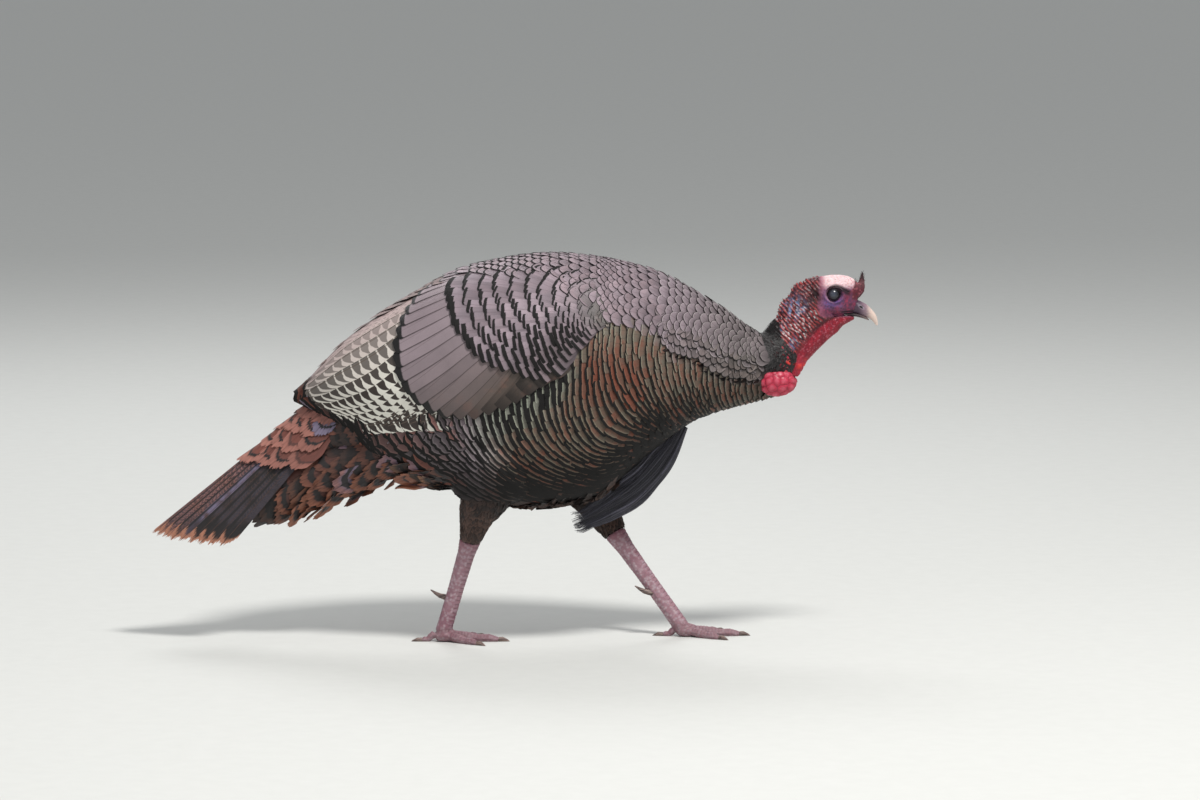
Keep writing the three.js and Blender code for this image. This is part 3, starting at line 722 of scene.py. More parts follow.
def body_colors(x, z):
    """The ground colour and the marks of feathers on the neck, breast, belly and flank."""
    chance = rng.uniform(0, 1, len(x))
    drop = fold_line(x) - z
    below = smooth(drop, -6, 14) * smooth(x, -60, 0)
    rusty = np.clip(drift(x, z, 5, 38) * 0.55 + (chance - 0.42) * 1.3, 0, 1) * below * smooth(drop, 20, 90)
    near_wing = smooth(wing_edge(x) - z, 95, 12) * (1 - smooth(x, 60, 105)) * smooth(x, -75, -45)
    low = smooth(belly(x) + 105 - z, 0, 95) * (1 - 0.5 * smooth(x, 190, 290))
    dark = np.maximum(0.92 * low, 0.75 * smooth(-x, 50, 85) * (1 - 0.5 * chance))
    # the purple-grey rump feathers are partly their own colour, partly painted silver glint
    rump = mixed(rgb(92, 52, 43), rgb(118, 107, 124), chance > 0.62)
    color = painted(MAUVE, [
        (GREY, smooth(x, 200, 330)),
        (mixed(OLIVE, BRONZE, smooth(drop, 15, 120)), below),
        (RUST, 0.9 * rusty),
        (SILVER, 0.8 * near_wing),
        (SOOT, dark),
        (rgb(118, 66, 52), np.clip(chance * 1.5 - 0.75, 0, 1) * smooth(-x, 60, 100)),
        (rump, smooth(-x, 258, 285)),
    ])
    band = 0.030 + below * (0.022 + 0.05 * smooth(drop, 20, 130)) + 0.10 * near_wing + 0.06 * low
    band = band * rng.uniform(0.8, 1.25, len(x)) + 0.05 * smooth(-x, 20, 90)
    # how much copper each feather shows, partly painted iridescent glint
    copper_and_glint = below * (0.35 + 0.65 * chance) * (1 - near_wing)
    return color, np.stack([band, copper_and_glint, chance, 0.5 + 0.3 * chance], 1)


# %% [markdown]
# The haunches swell out from the belly, and the coat hangs over them like cloth. The rows are laid
# on the plain body, so before a feather gets its height its place is moved out over the thigh.

# %% Haunches under the coat
HIP_Y, HOCK_Y, SOLE_Y = 74, 46, 24
LEGS = {
    "right": {"side": -1, "hock": (-59, 155), "ball": (-101, 10), "thigh": [
        (-24, 264, 50, 46), (-39, 216, 38, 32), (-51, 187, 26, 22), (-58, 160, 18, 16), (-60, 149, 15, 13)]},
    "left": {"side": 1, "hock": (144, 151), "ball": (246, 10), "thigh": [
        (76, 256, 50, 46), (100, 217, 38, 32), (121, 187, 28, 23), (139, 160, 21, 18), (147, 147, 17, 15)]},
}


def thigh_y(t):
    """How far the thigh's middle is from the bird's middle, from hip (0) to hock (4)."""
    return HIP_Y + (HOCK_Y - HIP_Y) * float(smooth(t, 0, 4))


def over_haunch(x, y, z, flip):
    """Half width of the draped body: y moved out over the thighs where they stand proud."""
    wide = -y
    for leg in LEGS.values():
        bulge = 0 * wide
        for t in np.linspace(0, 2, 9):
            hx, hz, rise, half = (np.interp(t, range(5), [st[k] for st in leg["thigh"]]) for k in range(4))
            far = np.minimum(np.hypot(x - hx, z - hz) / (rise * 1.22), 1)
            bulge = np.maximum(bulge, np.where(far < 1, thigh_y(t) + (half + 3) * (1 - far**2) ** 0.75, 0))
        bulge = np.where(flip == leg["side"], bulge, 0) * smooth(z, 186, 216)
        wide = np.where(bulge > wide, bulge * 0.98 + wide * 0.02, wide)
    return -wide


# %% Lay the rows
lines = row_lines(body_skin, STARTS)
tiles = tiles_in_rows(body_skin, lines, STARTS)
x, share, gap, side = tiles.T
here = body_skin.look(x, share)
z = here[:, 2]
under_wing = (x < 150) & (z > wing_edge(x) + np.where(x < -60, 0, 16))
y = np.abs(here[:, 1])
at_lobe = (np.hypot((x - 377.5) / 31, (z - 374.5) / 22) < 1) & (y > 7)
kept = (x < np.where(z > 392, 354, 377)) & ~at_lobe & (x > -318) & ~under_wing
kept &= ~((x < 205) & (z > fold_line(x) + 2) & (x > 100))
kept &= ~((x <= 150) & (z > 505))
x, share, gap, side, z = (a[kept] for a in (x, share, gap, side, z))
pitch = row_pitch(np.clip(x, -330, 380))
color, marks = body_colors(x, z)
flankish = smooth(-x, 60, 110)
above = smooth(z - fold_line(x), -4, 10) * smooth(x, 100, 200)
hang = 48 * above * smooth(x, 205, 260) * smooth(fold_line(x) + 75 - z, 0, 55) * smooth(share, 0.04, 0.20)
n = len(x)
room = np.where(np.abs(z - 374.5) < 26, 9 + np.maximum(350 - x, 0), 14 + np.maximum(376 - x, 0))
coat = lay(
    body_skin, x + rng.normal(0, 0.10, n) * pitch, share, side, along_rows(x, share, body_skin, 3.0, hang),
    length=np.minimum(pitch * 3.6, room) * rng.uniform(0.94, 1.06, n),
    width=gap * (1.36 + 0.3 * flankish), sink=5.2, tint=color, marks=marks, nu=8, nv=6, square=3.6 - 1.4 * above,
    corner=0.06 + 0.12 * flankish + 0.20 * above, camber=0.6 + 0.3 * above, roll=rng.normal(0, 0.45, n),
    lift=rng.uniform(0, 1.1, n) + 1.5 * flankish * rng.uniform(0, 1, n), fray=0.4 + 3.0 * flankish, drape=over_haunch,
)
grid_mesh("breast_feathers", [coat], slats)

# %% [markdown]
# Where the neck's coat hangs over the breast, its last feathers droop across the rows in a soft
# overhang. Three rows along that fold do it, over one black row that paints the shadow below it.

# %% The fold below the neck
FOLD_FROM, FOLD_TO, FOLD_STEP = 207, 350, 8.5
folds = []
# the first row, of tone 0, is all black: a painted shadow under the overhang
for drop, lift, tone in ((5.5, 0.5, 0.0), (1.0, 2.7, 1.0), (-12.0, 1.5, 1.0), (-25.0, 0.8, 1.0)):
    x = np.arange(FOLD_FROM, FOLD_TO, FOLD_STEP)
    n = len(x)
    x = x + rng.uniform(-1.5, 1.5, n)
    girth = body_skin.girth_at(x)
    share = body_skin.share_at_z(x, fold_line(x)) + (drop + rng.normal(0, 1.7, n)) / girth
    chance = rng.uniform(0, 1, n)
    color = mixed(rgb(142, 130, 134), rgb(112, 105, 102), smooth(x, 190, 330)) * (0.85 + 0.25 * chance[:, None])
    # tone 0 turns a row black, as painted shadow
    color = mixed(BLACK, color, np.full(n, tone))
    for side in (-1, 1):
        folds.append(lay(
            body_skin, x, share, np.full(n, side), np.stack([-0.40 + 0 * x, 0.92 / girth], 1),
            length=36 - 22 * (1 - tone), width=15.0, sink=4.0, tint=color,
            marks=np.stack([0.05 + 0 * x, 0.1 + 0 * x, chance, 0.6 + 0 * x], 1),
            nu=8, nv=7, square=2.2, corner=0.26, camber=1.3, roll=rng.normal(0, 0.5, n), fray=0.4,
            lift=lift * (0.3 + 0.7 * smooth(x, 207, 240) * (1 - smooth(x, 315, 350))),
        ))
grid_mesh("neck_fold_feathers", folds, plumage)

# %% [markdown]
# ## Mantle
# Over the shoulders the tips turn round and the rows close up into small scallops, mauve with thin
# dark rims. They lie over the wings' inner edges, so they are laid on the surface that has the
# folded wings on it.

# %% Lay the mantle and the back
mantle_lines = row_lines(wing_skin, STARTS)
tiles = tiles_in_rows(wing_skin, mantle_lines, STARTS)
x, share, gap, side = tiles.T
here = wing_skin.look(x, share)
y, z = -here[:, 1], here[:, 2]
front = (x >= 60) & (x < 206) & (z > np.where(x < 132, mantle_edge(x), fold_line(x)) - 3)
rear = (x < 60) & (y < wing_inner(x) - 8 + 20 * smooth(x, -90, 0))
kept = (front | rear) & (x > -318) & (share < 0.5)
x, share, gap, side, z = (a[kept] for a in (x, share, gap, side, z))
color, marks = body_colors(x, z + 40)
rear = smooth(-x, 60, 150)
lower_back = mixed(rgb(146, 128, 126), rgb(128, 106, 100), smooth(-x, 235, 275))
color = mixed(color, lower_back, rear)
mauve = np.asarray(MAUVE)[:3] * rng.uniform(0.88, 1.08, (len(x), 1))
color = mixed(color, mauve, rear < 0.5)
marks[:, 0] = (0.03 + 0.04 * smooth(-x, -120, 0)) * (1 - rear)
marks[:, 1] = 0.15
mantle = lay(
    wing_skin, x, share, side, along_rows(x, share, wing_skin, 5.0), length=row_pitch(np.clip(x, -330, 380)) * 3.6,
    width=gap * 1.25, sink=5.0, tint=color, marks=marks, nu=8, nv=6, square=2.0, corner=0.30, camber=0.9,
    lift=rng.uniform(0.2, 1.2, len(x)) * (1 - 0.8 * rear), fray=0.4, base=0.6 - 1.0 * rear,
)
grid_mesh("mantle_feathers", [mantle], plumage)

# %% [markdown]
# ## Wing coverts
# The small feathers of the folded wing spread like a fan from one point on the shoulder. Each row is
# an arc round that point, and the arcs grow further apart until the last one, whose black ends make
# the heavy line across the wing. The arcs are drawn on an unrolled side of the bird, where distance
# round the body is a plain number.

# %% Lay the wing coverts
SHOULDER = (135.0, 474.0)  # x, z
COVERT_LINE = [(-92, 521), (-88, 491), (-73, 459), (-47, 427), (-1, 408), (46, 393), (62, 384)]
COVERT_ROWS = 12
COVERT_SPREAD = 1.22  # above 1 the rows grow further apart away from the shoulder


def unroll(skin, pairs):
    """(x, z) pairs of the side as places on the unrolled half: x and the way round from the back."""
    px, pz = np.array(pairs, float).T
    return np.stack([px, skin.share_at_z(px, pz) * skin.girth_at(px)], 1)


shoulder = unroll(wing_skin, [SHOULDER])[0]
edge = unroll(wing_skin, COVERT_LINE)
edge_turn = np.arctan2(edge[:, 1] - shoulder[1], shoulder[0] - edge[:, 0])
edge_reach = np.hypot(*(edge - shoulder).T)
order = np.argsort(edge_turn)


def covert_reach(turn):
    return np.interp(turn, edge_turn[order], edge_reach[order])


covert_spots = []
for k in range(1, COVERT_ROWS + 1):
    far = (k / COVERT_ROWS) ** COVERT_SPREAD
    step = 6.0 + 8.5 * far
    turn = -1.25 + rng.uniform(0, 0.05)
    while turn < edge_turn.max() + 0.12:
        reach = float(covert_reach(turn)) * (far + 0.006 * rng.normal())
        covert_spots.append((turn, reach, k, far))
        turn += step / max(reach, 12)
turn, reach, k, far = np.array(covert_spots).T
cx = shoulder[0] - reach * np.cos(turn)
cg = shoulder[1] + reach * np.sin(turn)
share = cg / wing_skin.girth_at(cx)
here = wing_skin.look(cx, share)
kept = (-here[:, 1] > wing_inner(cx) - 4) & (here[:, 2] > wing_edge(cx) - 6)
turn, reach, far, cx, share, here, k = (a[kept] for a in (turn, reach, far, cx, share, here, k))
start = wing_skin.look(np.array([SHOULDER[0]]), np.array([shoulder[1] / wing_skin.girth_at(SHOULDER[0])]))[0, :3]
way = unit(here[:, :3] - start)
pitch = covert_reach(turn) * (far - ((k - 1) / COVERT_ROWS) ** COVERT_SPREAD)
coverts = []
for side in (-1, 1):
    n = len(cx)
    chance = rng.uniform(0, 1, n)
    last = k > COVERT_ROWS - 0.5
    mauve = np.asarray(rgb(152, 138, 147))[:3] * (0.84 + 0.26 * chance[:, None])
    color = painted(rgb(122, 118, 116), [
        (mauve, smooth(far, 0.05, 0.35)), (rgb(96, 84, 82), smooth(turn, 0.35, 0.75) * 0.35),
    ])
    band = (0.055 + 0.03 * chance + 0.06 * smooth(turn, 0.1, 0.6)) * (0.35 + 0.65 * smooth(far, 0.12, 0.45))
    band = np.where(last, 0.115, band)
    marks = np.stack([band, 0.1 + 0 * band, chance, 0.55 + 0 * band], 1)
    jitter = way + np.cross(here[:, 9:12], way) * rng.normal(0, 0.045, (n, 1))
    coverts.append(lay(
        wing_skin, cx + rng.normal(0, 0.6, n), share, np.full(n, side), jitter,
        length=np.maximum(pitch * 3.0, 15), width=(6.0 + 8.5 * far) * 1.9, sink=4.2, tint=color, marks=marks,
        nu=8, nv=7, square=6.0, corner=0.03, camber=0.8, lift=rng.uniform(0.1, 1.0, n), fray=0.5, base=0.2,
    ))
for side, name, batch in ((-1, "right", coverts[0]), (1, "left", coverts[1])):
    grid_mesh(f"wing_coverts_{name}", [batch], plumage, [f"wing_{name}_coverts"])

# %% [markdown]
# ## Long wing feathers
# The next two tracts are made of long feathers that lie side by side, each upper one over the one
# below it. They need their shape followed all the way, so each is given a root and a tip, and its
# vane is built along the line between them on the wing.

# %% Long vanes between two places
LONG_U = np.array([-1, -0.7, -0.4, -0.15, -0.05, 0, 0.05, 0.15, 0.3, 0.5, 0.7, 0.86, 1.0])


def spots_on(skin, pairs, count, power=1.0):
    """Places evenly along a line of (x, z, y) points; z is None where y gives the place on the back."""
    shares = np.array([
        float(skin.share_at_y(px, py)[0]) if pz is None else float(skin.share_at_z(px, pz)[0])
        for px, pz, py in pairs
    ])
    px = np.array([p[0] for p in pairs], float)
    dense = np.linspace(0, len(pairs) - 1, 200)
    dx, ds = (np.interp(dense, np.arange(len(pairs)), a) for a in (px, shares))
    run = run_along(skin.look(dx, ds)[:, :3])
    at = np.linspace(0, 1, count) ** power * run[-1]
    return np.interp(at, run, dx), np.interp(at, run, ds)


def lay_long(skin, roots, tips, side, width, sink, tint, marks, steps, roll, corner, shaft, lift, square=2.4,
             fray=0.0):
    """Vanes from roots to tips, each an (x, share) pair of arrays, on one side of the bird."""
    n = len(tips[0])
    v = np.linspace(0, 1, steps + 1)[None, :, None]
    u = LONG_U[None, None, :]
    flip = columns(side, n)
    tip = 1 - corner * np.abs(u) ** square * v
    ragged = columns(fray, n) * rng.uniform(-1, 0.2, (n, 1, len(LONG_U))) * smooth(v, 0.8, 1)
    t = v * tip + ragged
    x = roots[0][:, None, None] * (1 - t) + tips[0][:, None, None] * t
    s = roots[1][:, None, None] * (1 - t) + tips[1][:, None, None] * t
    here = skin.look(x, s)
    along, around, out = here[..., 3:6], here[..., 6:9], here[..., 9:12]
    way = along * (tips[0] - roots[0])[:, None, None, None] + around * (tips[1] - roots[1])[:, None, None, None]
    part_x, part_s = slope_parts(np.cross(out, unit(way)), along, around)
    half = columns(width, n) / 2 * (0.7 + 0.3 * smooth(t, 0, 0.4)) * (1 - 0.25 * smooth(t, 0.6, 1.0))
    wide = half * u * -flip
    rows = skin.look(x + wide * part_x, s + wide * part_s)
    height = (
        columns(lift, n) - columns(sink, n) * (1 - t) + roll * u * -flip - 0.5 * u * u
        + shaft * np.exp(-((u / 0.06) ** 2)) * (1 - 0.5 * t)
    )
    points = rows[..., :3] + rows[..., 9:12] * height[..., None]
    points[..., 1] *= -flip
    place = np.stack([0.02 + 0.96 * np.arange(n) / n, np.full(n, 0.02 if side < 0 else 0.52)], 1)
    return {"points": points, "tint": tint, "marks": marks, "place": place, "u": LONG_U, "turn": -float(side),
            "patch": np.array([0.9 * 0.96 / n, 0.45])}


# %% [markdown]
# The panel's feathers are smooth, mauve above and olive below, with a thin dark line where each
# overlaps the next. Those along its rear edge end in black.

# %% Panel feathers
def panel_finish(name):
    made = Finish(name)
    u, v = made.vane()
    tint, marks = made.vertex("tint"), made.vertex("marks")
    band, low, chance = made.split(marks)
    where = made.place()
    fine = made.noise(where, 700.0, 2.0)
    wide = made.noise(where, 30.0, 4.0)
    barb = ((v * 110 - u.size() * 26) * 6.283 + fine * 4).wave()
    tone = barb * 0.07 + wide * 0.34 + fine * 0.12 + 0.62 + (chance - 0.5) * 0.12
    lit = made.toned(tint, tone)
    rust = made.mix(lit, rgb(132, 88, 74), wide.rise(0.52, 0.74) * low * 0.5)
    slanted = v - 1 + band * (1.25 - u * 0.5) + (fine - 0.5) * 0.010
    tipped = (slanted * 90).rise(-0.5, 0.6) * band.rise(0.001, 0.01)
    seam = u.rise(0.91, 0.99)
    shaft = 1 - u.size().rise(0.015, 0.04)
    color = made.mix(rust, rgb(52, 42, 42), seam * 0.8)
    color = made.mix(color, made.tinted(color, (0.55, 0.5, 0.5, 1)), shaft * 0.6)
    color = made.mix(color, made.tinted(color, (0.3, 0.28, 0.28, 1)), low * v.rise(0.72, 1.0))
    color = made.mix(color, BLACK, tipped)
    return made.surface(
        Base_Color=color, Metallic=0.18, Roughness=0.47 + fine * 0.14 - wide * 0.06,
        Normal=made.bump(barb * 0.5 + fine * 0.5, 0.25, 0.0003), Specular_IOR_Level=0.5,
    )


PANEL_TIPS = [
    (-104, None, 22), (-130, 509, 0), (-140, 498, 0), (-158, 472, 0), (-168, 433, 0), (-165, 397, 0), (-148, 364, 0),
    (-116, 341, 0), (-90, 337, 0), (-62, 339, 0), (-19, 353, 0), (20, 378, 0), (50, 397, 0),
]
PANEL_ROOTS = [
    (-34, None, 36), (-20, None, 58), (-8, 528, 0), (0, 522, 0), (2, 508, 0), (6, 492, 0), (12, 474, 0),
    (22, 455, 0), (38, 448, 0), (46, 442, 0), (60, 434, 0), (75, 428, 0), (84, 424, 0),
]
PANEL_FEATHERS = 22
tip_x, tip_s = spots_on(wing_skin, PANEL_TIPS, PANEL_FEATHERS)
root_x, root_s = spots_on(wing_skin, PANEL_ROOTS, PANEL_FEATHERS)
t = np.linspace(0, 1, PANEL_FEATHERS)
panel_paint = panel_finish("panel_plumage")
for side, name in ((-1, "right"), (1, "left")):
    chance = rng.uniform(0, 1, PANEL_FEATHERS)
    color = mixed(rgb(150, 135, 141), rgb(92, 79, 72), smooth(t, 0.32, 0.80)) * (0.93 + 0.12 * chance[:, None])
    color = color * (1 - 0.5 * smooth(t, 0.66, 0.95))[:, None]
    black = (0.030 + 0.014 * chance) * (1 - smooth(t, 0.58, 0.72))
    marks = np.stack([black, smooth(t, 0.45, 0.85), chance, 0.5 + 0 * t], 1)
    batch = lay_long(
        wing_skin, (root_x, root_s), (tip_x, tip_s), side, 34.0, 4.5, color, marks,
        steps=40, roll=0.9, square=6.0, corner=0.022, shaft=0.25, lift=-0.8,
    )
    grid_mesh(f"wing_panel_{name}", [batch], panel_paint, [f"wing_{name}_panel"])

# %% [markdown]
# ## Barred flight feathers
# The flight feathers' outer vanes are cream with slanted dark bars. Folded together, only a strip
# of each shows, and the bars line up into a weave. The bars are measured in millimetres along
# each vane, so they keep their pitch whatever the feather's length.

# %% Flight feathers
BAR_PITCH = 13.5
MARK_LENGTH = 250  # a vane's length in millimetres goes into a mark as a share of this
HALF_GIRTH = 300  # about the way in millimetres from the back to the keel


def barred_finish(name):
    made = Finish(name)
    u, v = made.vane()
    tint, marks = made.vertex("tint"), made.vertex("marks")
    length, contrast, chance = made.split(marks)
    where = made.place()
    fine = made.noise(where, 600.0, 2.0)
    wide = made.noise(where, 60.0, 3.0)
    run = v * length * MARK_LENGTH
    strip = ((u - 0.30) / 0.70).most(0.0)
    cycle = ((run - strip * 9 + (wide - 0.5) * 4 + (fine - 0.5) * 1.2) / BAR_PITCH + chance) % 1.0
    fill = 0.86 - strip * 0.70 + (fine - 0.5) * 0.1
    dark = ((cycle - 0.02) * 14).rise(0, 1) * (1 - ((cycle - fill) * 14).rise(0, 1))
    barb = ((v * 90 - u.size() * 20) * 6.283).wave()
    tone = barb * 0.08 + fine * 0.2 + wide * 0.15 + 0.80
    pale = made.toned(tint, tone)
    color = made.mix(pale, rgb(48, 38, 34), dark * contrast)
    edge = u.rise(0.955, 0.995)
    color = made.mix(color, rgb(224, 218, 206), edge * 0.8)
    shaft = 1 - u.size().rise(0.02, 0.05)
    color = made.mix(color, rgb(90, 76, 66), shaft * 0.8)
    return made.surface(
        Base_Color=color, Roughness=0.55 + fine * 0.15, Normal=made.bump(barb * 0.6 + fine * 0.4, 0.3, 0.0003)
    )


FLIGHT_TIPS = [
    (-296, None, 9), (-300, 378, 0), (-302, 371, 0), (-298, 357, 0), (-284, 344, 0), (-262, 331, 0), (-236, 320, 0),
    (-205, 317, 0), (-170, 320, 0), (-130, 326, 0),
]
FLIGHT_ROOTS = [
    (-92, None, 26), (-84, 505, 0), (-88, 490, 0), (-92, 468, 0), (-92, 446, 0), (-88, 424, 0), (-80, 402, 0),
    (-70, 380, 0), (-60, 362, 0), (-50, 346, 0),
]
FLIGHT_FEATHERS = 22
tip_x, tip_s = spots_on(wing_skin, FLIGHT_TIPS, FLIGHT_FEATHERS, 1.5)
root_x, root_s = spots_on(wing_skin, FLIGHT_ROOTS, FLIGHT_FEATHERS, 1.5)
t = np.linspace(0, 1, FLIGHT_FEATHERS)
long_mm = np.hypot(tip_x - root_x, (tip_s - root_s) * HALF_GIRTH)
flight_paint = barred_finish("barred_plumage")
for side, name in ((-1, "right"), (1, "left")):
    chance = rng.uniform(0, 0.3, FLIGHT_FEATHERS) + 0.45 * np.arange(FLIGHT_FEATHERS)
    color = mixed(rgb(172, 151, 149), rgb(218, 215, 205), smooth(t, 0.16, 0.44))
    marks = np.stack([long_mm / MARK_LENGTH, 0.34 + 0.66 * smooth(t, 0.16, 0.42), chance, 0.5 + 0 * t], 1)
    batch = lay_long(
        wing_skin, (root_x, root_s), (tip_x, tip_s), side, 40.0, 3.2, color, marks,
        steps=34, roll=1.0, corner=0.12, shaft=0.3, lift=-2.0, fray=0.006,
    )
    grid_mesh(f"flight_feathers_{name}", [batch], flight_paint, [f"wing_{name}_flight"])

# %% [markdown]
# ## Surfaces for the tail, the thighs and the collar
# The same way of laying feathers needs only a table of points, so any form can carry a coat. A tube
# through a few sections stands for the thighs, the collar and the fluff under the tail, and the fan
# has its own rule.

# %% Skins from a table of points


class TableSkin:
    """A surface given by a grid of points: a runs along it in millimetres, b across it."""

    def __init__(self, points, a, b, inside):
        self.a, self.b = np.asarray(a, float), np.asarray(b, float)
        self.table = with_slopes(points, self.a, self.b, inside)

    def look(self, a, b):
        a = np.asarray(a, float)
        held = np.clip(a, self.a[0], self.a[-1])
        i = (held - self.a[0]) / (self.a[1] - self.a[0])
        j = (np.clip(b, self.b[0], self.b[-1]) - self.b[0]) / (self.b[1] - self.b[0])
        found = between(self.table, i, j)
        found[..., :3] = found[..., :3] + found[..., 3:6] * (a - held)[..., None]
        return found


# %% A smooth path and a tube along it


def spline(stations, t):
    """Points and directions along a smooth path through stations, t from 0 to 1."""
    p = np.array([s[0] for s in stations], float)
    n = len(p)
    p = np.concatenate([[2 * p[0] - p[1]], p, [2 * p[-1] - p[-2]]])
    gap = np.maximum(np.linalg.norm(np.diff(p, axis=0), axis=1), 1e-6) ** 0.5
    k = np.clip((t * (n - 1)).astype(int), 0, n - 2)
    w = (t * (n - 1) - k)[:, None]
    p0, p1, p2, p3 = p[k], p[k + 1], p[k + 2], p[k + 3]
    d0, d1, d2 = gap[k][:, None], gap[k + 1][:, None], gap[k + 2][:, None]
    m1 = ((p1 - p0) / d0 - (p2 - p0) / (d0 + d1) + (p2 - p1) / d1) * d1
    m2 = ((p2 - p1) / d1 - (p3 - p1) / (d1 + d2) + (p3 - p2) / d2) * d1
    point = (2 * w**3 - 3 * w**2 + 1) * p1 + (w**3 - 2 * w**2 + w) * m1
    point = point + (3 * w**2 - 2 * w**3) * p2 + (w**3 - w**2) * m2
    slope = (6 * w**2 - 6 * w) * (p1 - p2) + (3 * w**2 - 4 * w + 1) * m1 + (3 * w**2 - 2 * w) * m2
    return point, unit(slope)


def tube_frame(stations, steps, lateral=(0, 1, 0)):
    """Centres, side and up directions and half sizes along a tube. A station is (place, half, rise, drop)."""
    t = np.linspace(0, 1, steps + 1)
    center, way = spline(stations, t)
    lateral = np.asarray(lateral, float)
    side = unit(lateral - way * (way @ lateral)[:, None])
    up = np.cross(way, side)
    last = len(stations) - 1
    half, rise, drop = (through([(i / last, s[k]) for i, s in enumerate(stations)])(t) for k in (1, 2, 3))
    return center, side, up, half, rise, drop


def tube_points(stations, steps, around, square=2.0, lateral=(0, 1, 0)):
    """Rings of points round a tube, from its side at 0 by its top at a quarter, and their centres."""
    center, side, up, half, rise, drop = tube_frame(stations, steps, lateral)
    angle = 2 * math.pi * np.asarray(around)
    c, s = np.cos(angle), np.sin(angle)
    across = half[:, None] * np.sign(c) * np.abs(c) ** (2 / square)
    tall = np.where(s > 0, rise[:, None], drop[:, None]) * np.sign(s) * np.abs(s) ** (2 / square)
    return center[:, None] + side[:, None] * across[..., None] + up[:, None] * tall[..., None], center


# %% Feathers along a tube


class TubeSkin(TableSkin):
    """A tube's surface: a in millimetres along it, b once round from 0 to 1."""

    def __init__(self, stations, lateral=(0, 1, 0)):
        around = np.linspace(-0.25, 1.25, 109)
        points, center = tube_points(stations, 60, around, lateral=lateral)
        self.length = float(np.linalg.norm(np.diff(center, axis=0), axis=1).sum())
        super().__init__(points, np.linspace(0, self.length, 61), around, center[:, None])

    def rows(self, first, last, pitch, width):
        """Staggered tip places from first to last along the tube."""
        found = []
        for k, a in enumerate(np.arange(first, last, pitch)):
            ring = self.look(np.full(73, a), np.linspace(0, 1, 73))[:, :3]
            girth = np.linalg.norm(np.diff(ring, axis=0), axis=1).sum()
            n = max(6, int(girth / width))
            b = (np.arange(n) + 0.5 * (k % 2) + rng.uniform(-0.2, 0.2, n)) / n % 1.0
            found.append(np.stack([a + rng.normal(0, 0.12 * pitch, n), b], 1))
        return np.concatenate(found).T


STRAY = 0.0  # how far headings scatter along a tube; the draws are still made


def bake_spot(a, b):
    """Shares across and up the unwrapped form as a place in the baking map."""
    return np.stack([0.02 + 0.95 * np.clip(a, 0, 1), 0.02 + 0.95 * np.clip(b, 0, 1)], 1)


def tube_batch(skin, a, b, **options):
    """Vanes along a tube, which point the way it runs."""
    n = len(a)
    made = lay(skin, a, b, np.full(n, -1.0), np.tile([1.0, 0.0], (n, 1)) + rng.normal(0, STRAY, (n, 2)), **options)
    made["place"] = bake_spot(a / skin.length, b)
    return made


# %% [markdown]
# ## Tail
# Eighteen long feathers fan out from the rump, roofed from the middle pair to the outer ones. They
# are finely barred brown and black, with a broad black band and a rusty tip. Closed, the fan droops
# behind the bird, and the longest coverts hide more than half of it.

# %% The fan's surface
TAIL_FEATHERS = 18
LONGEST, SHORTEST = 371, 277  # the middle and the outer feathers, in millimetres
STEEP, STEEPER = 38.8, 50  # how far they point down, in degrees


def tail_place(f, t):
    """A place on the fan: f from -1 (right) to 1 (left), t from the base to the tips."""
    a = np.abs(f)
    pitch = np.radians(STEEP + (STEEPER - STEEP) * a**1.3)
    yaw, roll = np.radians(8.5 * f), np.radians(62 * f)
    reach = LONGEST + (SHORTEST - LONGEST) * a**1.6
    start = np.stack([-232 + 8 * a, 26 * f, 386 - 32 * a * a], -1)
    way = np.stack([-np.cos(pitch) * np.cos(yaw), np.cos(pitch) * np.sin(yaw), -np.sin(pitch)], -1)
    out = np.stack([-np.sin(pitch) * np.cos(roll), np.sin(roll), np.cos(pitch) * np.cos(roll)], -1)
    return start + way * (t * reach)[..., None], out


class FanSkin:
    """The fan's upper face: a is the share of the length times the longest, b is f."""

    def look(self, a, b):
        a, b = np.broadcast_arrays(np.asarray(a, float), np.asarray(b, float))
        t = a / LONGEST
        place, out = tail_place(b, t)
        h = 1e-3
        along = (tail_place(b, t + h)[0] - place) / (h * LONGEST)
        around = (tail_place(b + h, t)[0] - place) / h
        return np.concatenate([place, along, around, out], -1)


fan_skin = FanSkin()


# %% Tail finish


